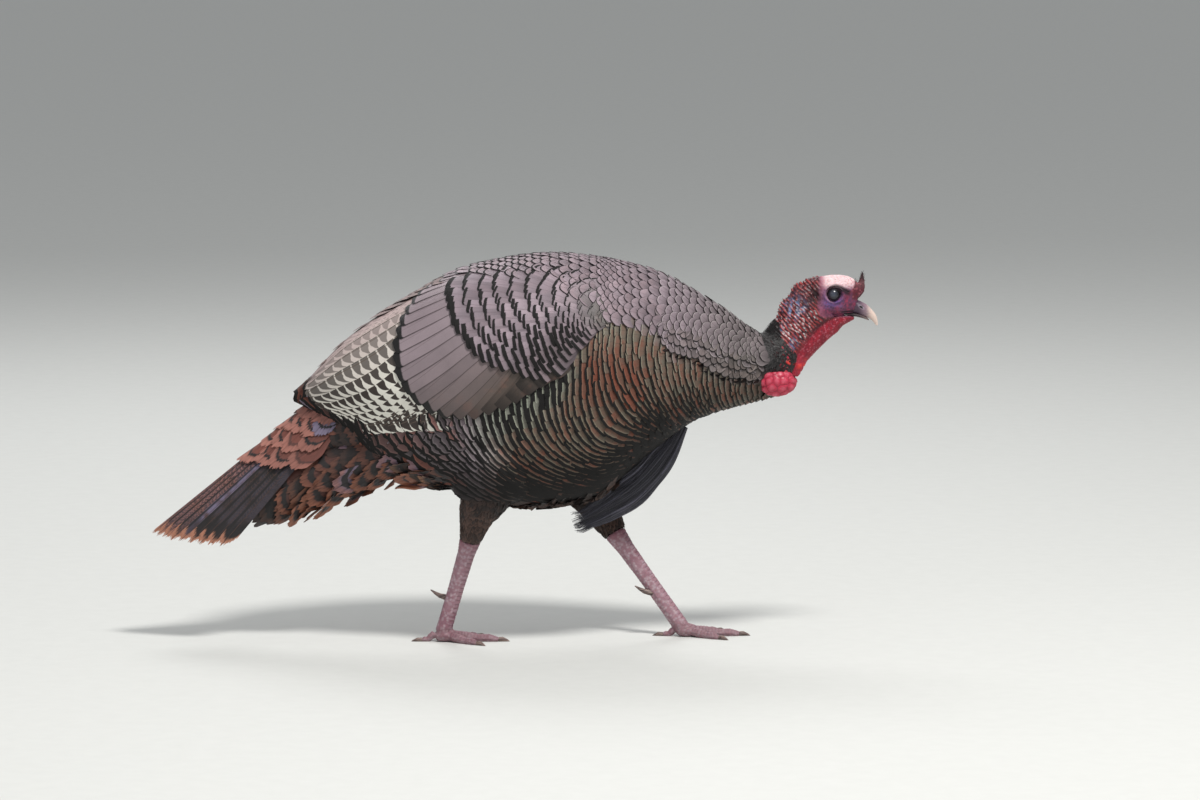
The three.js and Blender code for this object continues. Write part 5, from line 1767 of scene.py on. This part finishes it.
# %% Colour the head and neck
bone, _ = line_distance(px, pz, [(489, 497), (496, 504), (500, 524)])
snoodish = (1 - smooth(np.abs(bone), 7.5, 10.5)) * smooth(px, 483, 488) * smooth(pz, 489, 494)
valley = neck_skin * smooth(1 - ridge * broken, 0.30, 0.75)
blue = sum(bell(np.hypot(px - bx, pz - bz), far) for bx, bz, far in ((403, 478, 14), (386, 445, 9), (398, 428, 11)))
blue = np.clip(blue * 1.5, 0, 1) * np.maximum(valley, 0.35 * neck_skin)
pale = neck_skin * smooth(grain, 0.15, 0.85)
crown = smooth(pz, 504, 516) * skull
face = skull * (1 - crown)
color = painted(np.tile(rgb(138, 50, 52), (len(co), 1)), [
    # painted shade in the grooves between the ridges
    (rgb(58, 26, 36), valley * 0.9),
    (rgb(98, 120, 158), blue * smooth(mottle, -0.3, 0.3) * 0.9),
    (rgb(160, 58, 58), neck_skin * ridge * broken * 0.6),
    (rgb(214, 200, 202), 1.15 * pale * (grain_chance > 0.74) * np.maximum(valley, 0.3) * smooth(500 - pz, 0, 40)),
    (rgb(196, 104, 102), pale * (grain_chance < 0.28) * (0.3 + 0.7 * ridge) * 0.7),
    (rgb(34, 17, 25), pale * ((grain_chance > 0.38) & (grain_chance < 0.54)) * 0.9),
    (rgb(152, 28, 48), throat * 0.92),
    (rgb(206, 122, 138), throat * (small_chance > 0.72) * small * 0.6),
    (rgb(84, 14, 32), throat * (1 - smooth(small, 0.05, 0.4)) * 0.75),
    (rgb(112, 20, 40), throat * smooth(mottle, 0.1, 0.8) * 0.5),
    (rgb(36, 18, 28), bell(throat_line - 2.0, 3.0) * (1 - skull) * smooth(px, 415, 435) * 0.75),
    (rgb(186, 50, 70), lower_neck * 0.8),
    (rgb(226, 66, 54), lower_neck * big_lump * (boulder_chance > 0.72) * 0.9),
    (rgb(188, 52, 76), lobe),
    (rgb(220, 112, 132), lobe * smooth(boulder, 0.5, 1.0) * 0.45),
    (rgb(128, 24, 48), lobe * (1 - smooth(boulder, 0.03, 0.22)) * 0.75),
    (rgb(148, 96, 124), skull * 0.94),
    (rgb(104, 82, 144), face * bell(np.hypot((px - 456) / 1.35, pz - 489), 16) * 0.95),
    (rgb(106, 38, 64), face * smooth(483 - pz, -3, 8) * smooth(px, 436, 446) * 0.8),
    (rgb(92, 46, 74), face * smooth(px, 467, 476) * 0.85),
    (rgb(152, 46, 74),
     face * smooth(mottle + 0.6 * speckle, 0.0, 0.9) * smooth(px - 0.6 * (pz - 480), 452, 470) * 0.6),
    (rgb(52, 24, 46), face * smooth(speckle - 0.4 * mottle, 0.25, 0.9) * 0.45),
    (rgb(232, 204, 206), crown * smooth(px, 438, 450) * 0.92),
    (rgb(188, 88, 102),
     crown * (small_chance > 0.62) * small * (0.35 + 0.4 * smooth(np.abs(px - 462), 6, 24))),
    (rgb(158, 84, 98), skull * smooth(446 - px, -4, 10) * 0.7),
    # pale band round the back of the eye: painted highlight
    (rgb(200, 150, 170), side_face * bell(around_eye - 11.2, 1.5) * smooth(458 - px, -4, 6) * 0.75),
    (rgb(48, 22, 40), face * (small_chance > 0.80) * small * 0.55),
    (rgb(176, 60, 84), face * (small_chance < 0.14) * small * 0.5),
    (rgb(42, 26, 30), bell(ear, 9.5) * smooth(np.abs(py), 6, 10) * 0.92),
    (rgb(70, 44, 80), side_face * bell(under + 1.0, 2.0) * 0.6),
    # dark crease and patch under the brow fold, over the eye: painted shadow of the brow
    (rgb(22, 12, 18), brow_on * bell(brow + 0.7, 1.2) * 0.95),
    (rgb(30, 14, 24), brow_on * bell(brow + 3.0, 3.2) * smooth(px, 458, 468) * 0.9),
    (rgb(22, 13, 19), (1 - smooth(around_eye, 9.0, 11.4)) * (np.abs(py) > 7) * 0.95),
    (rgb(46, 24, 32), bell(gape, 1.3) * smooth(px, 468, 472) * (np.abs(py) > 3) * 0.85),
    (rgb(88, 30, 40), snoodish * 0.92),
    # pink tops of some snood grains: painted highlights
    (rgb(198, 120, 128), snoodish * (small_chance > 0.75) * small * 0.5),
    (rgb(34, 20, 24),
     np.maximum(smooth(pz, 515, 524), 0.8 * (small_chance < 0.14) * small) * snoodish * 0.85),
    (rgb(22, 18, 20), covered * 0.96),
])
head_color = np.concatenate([color, np.ones((len(color), 1))], 1)
head_shine = np.clip(0.40 + 0.12 * skull + 0.1 * warp, 0.25, 0.7)
print("head and neck:", len(co), "points, relief from", height.min().round(2), "to", height.max().round(2), "mm")

# %% [markdown]
# ## Scales of the shanks and toes
# Broad plates cross the front of each shank and the tops of the toes, and small round scales cover
# the rest. They are pushed up from the smooth form like the beads on the neck.

# %% Shape and colour the feet
SHANK_PLATE, TOE_PLATE = 6.4, 4.6  # millimetres from seam to seam
co, out = points_of(foot_mesh)
side_of = np.where(co[:, 1] < 0, -1, 1)
hock, ball = (
    np.where(side_of[:, None] < 0, *([[leg[key][0], leg["side"] * y, leg[key][1]]] for leg in LEGS.values()))
    for key, y in (("hock", HOCK_Y), ("ball", SOLE_Y))
)
shank = ball - hock
long = np.linalg.norm(shank, axis=1, keepdims=True)
run = ((co - hock) * shank / long).sum(1)
away = co - hock - shank / long * run[:, None]
front = away[:, 0] * -shank[:, 2] / long[:, 0] / np.linalg.norm(away, axis=1).clip(1e-6)
on_shank = smooth(co[:, 2], 16, 26)
plate = np.abs(((run / SHANK_PLATE) % 1.0) - 0.5) * 2
seam = smooth(plate, 0.72, 0.95) * smooth(front, 0.25, 0.55) * on_shank
reach = np.hypot(co[:, 0] - ball[:, 0], np.abs(co[:, 1]) - SOLE_Y)
toe_plate = np.abs(((reach / TOE_PLATE) % 1.0) - 0.5) * 2
toe_seam = smooth(toe_plate, 0.7, 0.95) * (1 - on_shank) * smooth(out[:, 2], 0.2, 0.6)
scale, scale_chance = lumps(co, 3.0, 21, 0.4)
rest_of = on_shank * (1 - smooth(front, 0.25, 0.55)) + (1 - on_shank) * (1 - smooth(out[:, 2], 0.2, 0.6))
height = 0.55 * rest_of * scale - 0.6 * seam - 0.6 * toe_seam + 0.1 * waves(co, 3, 22)
raised = co + out * height[:, None]
raised[:, 2] = np.maximum(raised[:, 2], 0.0)
foot_mesh.vertices.foreach_set("co", (raised * MM).ravel())
color = painted(np.tile(rgb(158, 122, 132), (len(co), 1)), [
    (rgb(128, 84, 98), smooth(waves(co, 12, 23), -0.2, 0.7) * 0.6),
    (rgb(196, 180, 186), (scale_chance > 0.6) * scale * 0.6 * rest_of),
    (rgb(190, 170, 178), smooth(waves(co, 2.2, 24), 0.2, 0.6) * 0.35),
    (rgb(120, 56, 72), on_shank * smooth(co[:, 2], 128, 156) * 0.6),
    (rgb(92, 62, 70), (seam + toe_seam) * 0.75),
    (rgb(122, 92, 96), (1 - on_shank) * 0.45),
])
foot_color = np.concatenate([color, np.ones((len(color), 1))], 1)

# %% [markdown]
# The three parts become one mesh, which carries its colours and its gloss point by point. Light
# sinks a little way into bare skin, so its finish has a weak red scatter under fine pores.

# %% Join the skin
body_color = np.tile(rgb(74, 58, 54), (len(body_mesh.vertices), 1))
skin_bm = bmesh.new()
for part, tone, shine in (
    (body_mesh, body_color, np.full(len(body_color), 0.8)), (head_mesh, head_color, head_shine),
    (foot_mesh, foot_color, np.full(len(foot_color), 0.55)),
):
    layer = part.attributes.new("tint", "FLOAT_COLOR", "POINT")
    layer.data.foreach_set("color", tone.astype(np.float32).ravel())
    layer = part.attributes.new("shine", "FLOAT", "POINT")
    layer.data.foreach_set("value", np.asarray(shine, np.float32))
    skin_bm.from_mesh(part)
skin_mesh = bpy.data.meshes.new("skin")
skin_bm.to_mesh(skin_mesh)
skin_bm.free()
flesh = Finish("bare_skin")
pores = flesh.noise(flesh.place(), 1500.0, 2.0)
blush = flesh.noise(flesh.place(), 240.0, 3.0)
flesh.surface(
    Base_Color=flesh.toned(flesh.vertex("tint"), pores * 0.35 + blush * 0.40 + 0.56),
    Roughness=flesh.vertex("shine", "Fac") + pores * 0.2 - 0.08,
    Normal=flesh.bump(pores * 0.6 + blush * 0.6, 0.35, 0.0004),
    Subsurface_Weight=0.12, Subsurface_Radius=(0.004, 0.0015, 0.001), Specular_IOR_Level=0.35,
)
placed("skin", skin_mesh, flesh.material, sorted(set(BODY_FLESH + HEAD_FLESH + FOOT_FLESH)))
print("skin:", len(skin_mesh.polygons), "faces")

# %% [markdown]
# ## Eyes and lids
# The eye is a dark glossy ball seated behind a ring of black lid; the lighter slate patch on it is a
# painted reflection. Both are written as rings of points, finely enough that no facet shows.

# %% Pieces from rings of points


def simple_piece(name, points, faces, finish, nodes=()):
    """A piece from points in millimetres and faces, with every face turned outwards."""
    mesh = bpy.data.meshes.new(name)
    mesh.from_pydata([tuple(p) for p in np.asarray(points) * MM], [], [tuple(int(i) for i in f) for f in faces])
    turned = bmesh.new()
    turned.from_mesh(mesh)
    bmesh.ops.recalc_face_normals(turned, faces=turned.faces)
    turned.to_mesh(mesh)
    turned.free()
    placed(name, mesh, finish, nodes)
    print(f"{name}: {len(faces)} faces")


def tube_faces(rows, cols, close_ends=True):
    """Faces of a tube whose rings have cols points; each end is closed with one face."""
    faces = []
    for r in range(rows - 1):
        for c in range(cols):
            d = (c + 1) % cols
            faces.append((r * cols + c, r * cols + d, (r + 1) * cols + d, (r + 1) * cols + c))
    if close_ends:
        faces.append(tuple(range(cols)))
        faces.append(tuple(range((rows - 1) * cols, rows * cols))[::-1])
    return faces


# %% Eyeballs and lids


def eye_finish(name):
    made = Finish(name)
    x, _, z = made.split(made.place())
    # the lighter slate patch, centred up and back of the middle, is a painted reflection
    far = (((x - (EYE[0] - 1.2) * MM) ** 2 + (z - (EYE[2] + 0.6) * MM) ** 2) ** 0.5) * 1000
    fine = made.noise(made.place(), 900.0, 3.0)
    painted_reflection = made.mix(rgb(60, 64, 78), rgb(38, 36, 42), fine * far.rise(1.5, 4.5))
    color = made.mix(painted_reflection, rgb(9, 8, 10), far.rise(3.5, 8.6))
    return made.surface(
        Base_Color=color, Roughness=0.24, Coat_Weight=0.2, Coat_Roughness=0.12, Specular_IOR_Level=0.4,
    )


RINGS, ROUND = 40, 56
LID_RINGS, LID_ROUND = 10, 72
polar = np.linspace(0, math.pi, RINGS)[:, None]
turn = np.linspace(0, 2 * math.pi, ROUND, endpoint=False)[None]
lid_paint = Finish("lid_skin")
lid_fine = lid_paint.noise(lid_paint.place(), 1200.0, 2.0)
lid_paint.surface(
    Base_Color=lid_paint.mix(rgb(15, 10, 14), rgb(40, 24, 34), lid_fine), Roughness=0.55 + lid_fine * 0.2,
    Normal=lid_paint.bump(lid_fine, 0.4, 0.0003),
)
for side, name in ((-1, "right"), (1, "left")):
    reach = EYE_R * (1 + 0.035 * bell(polar, 0.42))  # the clear front bulges
    ball_points = np.stack([
        EYE[0] + reach * np.sin(polar) * np.cos(turn), side * (EYE[1] + reach * np.cos(polar) + 0 * turn),
        EYE[2] + reach * np.sin(polar) * np.sin(turn),
    ], -1)[1:-1].reshape(-1, 3)
    simple_piece(f"eye_ball_{name}", ball_points, tube_faces(RINGS - 2, ROUND), eye_finish(f"eye_gloss_{name}"),
                 [f"eye_{name}"])
    # the lid is a soft ring round the opening, a little pointed fore and aft
    ring_turn = np.linspace(0, 2 * math.pi, LID_ROUND, endpoint=False)
    lid = []
    for a in np.linspace(0, 2 * math.pi, LID_RINGS, endpoint=False):
        wide = 8.75 + 0.42 * np.cos(a) + 0.35 * np.abs(np.cos(ring_turn)) ** 6
        tall = 8.35 + 0.42 * np.cos(a) - 0.3 * np.clip(np.sin(ring_turn), 0, 1)
        dx, dz = wide * np.cos(ring_turn), tall * np.sin(ring_turn)
        seat = EYE[1] + np.sqrt(np.clip(EYE_R**2 - dx**2 - dz**2, 2.0, None))
        lid.append(np.stack([EYE[0] + dx, side * (seat + 0.36 * np.sin(a)), EYE[2] + dz], -1))
    lid = np.concatenate(lid + lid[:1])
    simple_piece(f"eye_lid_{name}", lid, tube_faces(LID_RINGS + 1, LID_ROUND, False), lid_paint.material)

# %% [markdown]
# ## Bill
# The bill is horn: dusky and purple at its base, ivory at the hooked tip, with a covered nostril.
# Each half is a tube through a few sections, and the cere and the nostril are pushed out and in.

# %% Horn finish of the bill
BILL_SQUARE, BILL_ROUND, UPPER_STEPS, LOWER_STEPS = 2.15, 64, 70, 40
BILL_UPPER = [
    ((478, 0, 486), 8.0, 6.5, 11), ((491, 0, 484), 8.4, 6.4, 12.2), ((501, 0, 480), 7.6, 6.4, 12.0),
    ((510, 0, 473.5), 6.0, 5.4, 9), ((517.5, 0, 465), 3.9, 4.2, 5.4), ((522, 0, 454), 1.2, 1.4, 1.4),
]
BILL_LOWER = [
    ((466, 0, 472.8), 2.6, 0.7, 1.2), ((476, 0, 471.5), 5.6, 1.8, 2.5), ((488, 0, 469.7), 6.7, 2.4, 2.8),
    ((499, 0, 467.2), 5.4, 2.4, 2.5), ((507, 0, 463.6), 3.0, 1.4, 1.6), ((510.5, 0, 461.4), 0.7, 0.4, 0.5),
]


def horn_finish(name, base, middle, tip, start, end, rough=0.40, hole=None):
    """Horn that pales from start to end along x, with a dark nostril at hole (x, z) in a pale ring, partly its rim
    and partly painted highlight.
    """
    made = Finish(name)
    x, y, z = made.split(made.place())
    streak = made.noise(made.node("ShaderNodeCombineXYZ", None, [x * 60, y * 700, z * 700]), 1.0, 3.0)
    speck = made.noise(made.place(), 900.0, 2.0)
    go = ((x - start) / (end - start)).rise(-0.05, 1.0)
    color = made.mix(base, middle, go.rise(0.1, 0.55))
    color = made.mix(color, tip, (go + (streak - 0.5) * 0.3).rise(0.5, 0.95))
    color = made.mix(color, rgb(70, 54, 62), (streak * speck).rise(0.30, 0.45) * 0.35)
    if hole:
        dx, dz = (x - hole[0]) * 1000, (z - hole[1]) * 1000
        long, short = dx * 0.82 - dz * 0.57, dx * 0.57 + dz * 0.82
        far = ((long / 3.3) ** 2 + (short / 1.3) ** 2) ** 0.5
        # pale ring round the nostril: partly its rim, partly painted highlight
        color = made.mix(color, rgb(176, 168, 184), (1 - far.rise(1.3, 2.2)) * 0.35)
        color = made.mix(color, rgb(14, 9, 12), 1 - far.rise(0.85, 1.1))
    return made.surface(
        Base_Color=color, Roughness=rough + speck * 0.15, Normal=made.bump(streak + speck * 0.3, 0.25, 0.0003),
        Coat_Weight=0.08, Specular_IOR_Level=0.4, Subsurface_Weight=0.05, Subsurface_Radius=(0.002, 0.001, 0.001),
    )


# %% Both halves of the bill
around = np.linspace(0, 1, BILL_ROUND, endpoint=False)
upper_points, upper_center = tube_points(BILL_UPPER, UPPER_STEPS, around, BILL_SQUARE)
rel = upper_points - upper_center[:, None]
ux, uy, uz = np.moveaxis(upper_points, 2, 0)
side_on = smooth(np.abs(uy), 3.5, 6)
cere = 1 - smooth(ux + 0.6 * (487 - uz), 496, 500)
hood, nostril = np.hypot((ux - 499.5) / 2.4, uz - 482.8), np.hypot((ux - 500.5) / 1.9, uz - 481.2)
push = side_on * (0.8 * bell(hood, 2.0) - 1.5 * bell(nostril, 1.15)) + 0.35 * cere
length = np.linalg.norm(rel, axis=2, keepdims=True).clip(1e-6)
upper_points = upper_points + rel / length * push[..., None] * np.minimum(1, length / 4)
upper_points[..., 1] *= 1 - 0.22 * smooth(rel[..., 2], 0, 8)
lower_points, _ = tube_points(BILL_LOWER, LOWER_STEPS, around, BILL_SQUARE)
upper_horn = horn_finish(
    "bill_horn_top", rgb(74, 54, 72), rgb(134, 110, 122), rgb(218, 196, 184), 0.489, 0.521, hole=(0.4988, 0.4806),
)
lower_horn = horn_finish("bill_horn_bottom", rgb(38, 28, 34), rgb(58, 45, 50), rgb(116, 98, 96), 0.480, 0.514, 0.5)
for name, points, finish, node in (
    ("bill_top", upper_points, upper_horn, "bill_upper"), ("bill_bottom", lower_points, lower_horn, "bill_lower"),
):
    faces = tube_faces(len(points), BILL_ROUND)
    simple_piece(name, points.reshape(-1, 3), faces, finish, [node])

# %% [markdown]
# ## Claws and spurs
# Claws are curved horn over a toe bone. Their solids have the right shape but flat faces, so copies
# are melted as the flesh was, and streaked along their length.

# %% Claws and spurs
CLAWS = [n for n in sorted(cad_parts) if n.startswith(("claw", "spur"))]
claw_paint = Finish("claw_horn")
cx, cy, cz = claw_paint.split(claw_paint.place())
claw_streak = claw_paint.noise(claw_paint.node("ShaderNodeCombineXYZ", None, [cx * 90, cy * 500, cz * 500]), 1.0, 3.0)
claw_speck = claw_paint.noise(claw_paint.place(), 800.0, 2.0)
claw_paint.surface(
    Base_Color=claw_paint.mix(rgb(60, 46, 45), rgb(138, 116, 108), claw_streak.rise(0.3, 0.7)),
    Roughness=0.42 + claw_speck * 0.15, Normal=claw_paint.bump(claw_streak, 0.3, 0.0003), Coat_Weight=0.08,
)
placed("claws_and_spurs", melted(CLAWS, 0.5, 0.1, 5), claw_paint.material, CLAWS)

# %% [markdown]
# ## Bristles of the bare skin
# Sparse black hairs grow on the neck, round the ear, before the eye and on the snood, and hair-like
# plumes run up the nape. Each is a three-sided needle, lying back along the neck.

# %% Scatter bristles


def needles(roots, ways, length, thick, bend, tint):
    """Three-sided tapering hairs from roots, leaving along ways and bending towards bend."""
    n = len(roots)
    t = np.linspace(0, 1, 5)[None, :, None]
    far = length[:, None, None]
    path = roots[:, None] + ways[:, None] * (t * far) + bend[:, None] * (t**2 * far)
    side = unit(np.cross(ways, [0.3, 0.1, 0.95]))
    ring = three_sided(side[:, None, None], np.cross(ways, side)[:, None, None])
    points = path[:, :, None] + ring * (thick * (1 - 0.9 * t))[..., None]
    return {"points": points, "tint": np.broadcast_to(tint, (n, 3)), "marks": np.tile([0.0, 0.0, 0.5, 0.5], (n, 1))}


def neck_spot(at, half):
    """Places in the baking map for roots at, up the neck and across its half width."""
    return np.stack([0.02 + 0.95 * (at[:, 2] - 350) / 190, 0.5 + 0.47 * np.clip(at[:, 1] / half, -1, 1)], 1)


head_co, head_out = points_of(head_mesh)
chance = rng.random(len(head_co))
hx, hz, hy = head_co[:, 0], head_co[:, 2], np.abs(head_co[:, 1])
eye_far = np.hypot(hx - EYE[0], hz - EYE[2])
wanted = (
    0.014 * neck_skin * smooth(44 - neck_run, 0, 30) + 0.012 * neck_skin
    + 0.10 * bell(np.hypot((hx - 433.5), (hz - 500) / 1.5), 6) * (hy > 6)
    + 0.05 * bell(np.hypot(hx - 474, hz - 503), 4.5) * (hy > 5) * (eye_far > 10)
    + 0.12 * bell(np.hypot(hx - 492, hz - 503), 5) + 0.25 * snoodish * smooth(hz, 514, 522) + 0.0025 * skull
)
wanted = wanted * (eye_far > 9.5) * (1 - lobe) * (1 - throat)
pick = np.where(chance < wanted * 0.55)[0]
n = len(pick)
ways = head_out[pick] * 0.55 + rng.normal(0, 0.18, (n, 3))
back_way = np.tile([-0.55, 0.0, -0.35], (n, 1))
tip_up = (hz[pick] > 508) & (hx[pick] > 486)
back_way[tip_up] = [0.15, 0.0, 0.8]
ways = unit(ways + back_way * 0.8)
band_x = np.interp(hz, SEAM_Z, [378, 385, 384, 381, 372])
on_nape = (hx < band_x) & (hx > 348) & (hz > 393) & (hz < 470) & (lobe < 0.1)
band = np.where((rng.random(len(head_co)) < 0.30) & on_nape)[0]
m = len(band)
band_way = unit(head_out[band] * 0.16 + np.array([-0.30, 0, -0.75]) + rng.normal(0, 0.16, (m, 3)))
plumes = needles(
    head_co[band] - head_out[band] * 0.3, band_way, rng.uniform(7, 13, m), 0.38,
    np.array([-0.25, 0.0, -0.45]) + rng.normal(0, 0.12, (m, 3)),
    mixed(rgb(13, 11, 12), rgb(44, 41, 42), rng.random(m) ** 3),
)
plumes["place"] = neck_spot(head_co[band], 40)
bristles = needles(head_co[pick] - head_out[pick] * 0.2, ways, rng.uniform(2.2, 5.0, n), 0.22, back_way * 0.25,
                   rgb(24, 20, 22)[:3])
bristles["place"] = neck_spot(head_co[pick], 26)
grid_mesh("head_bristles", [bristles, plumes], bristle.material)
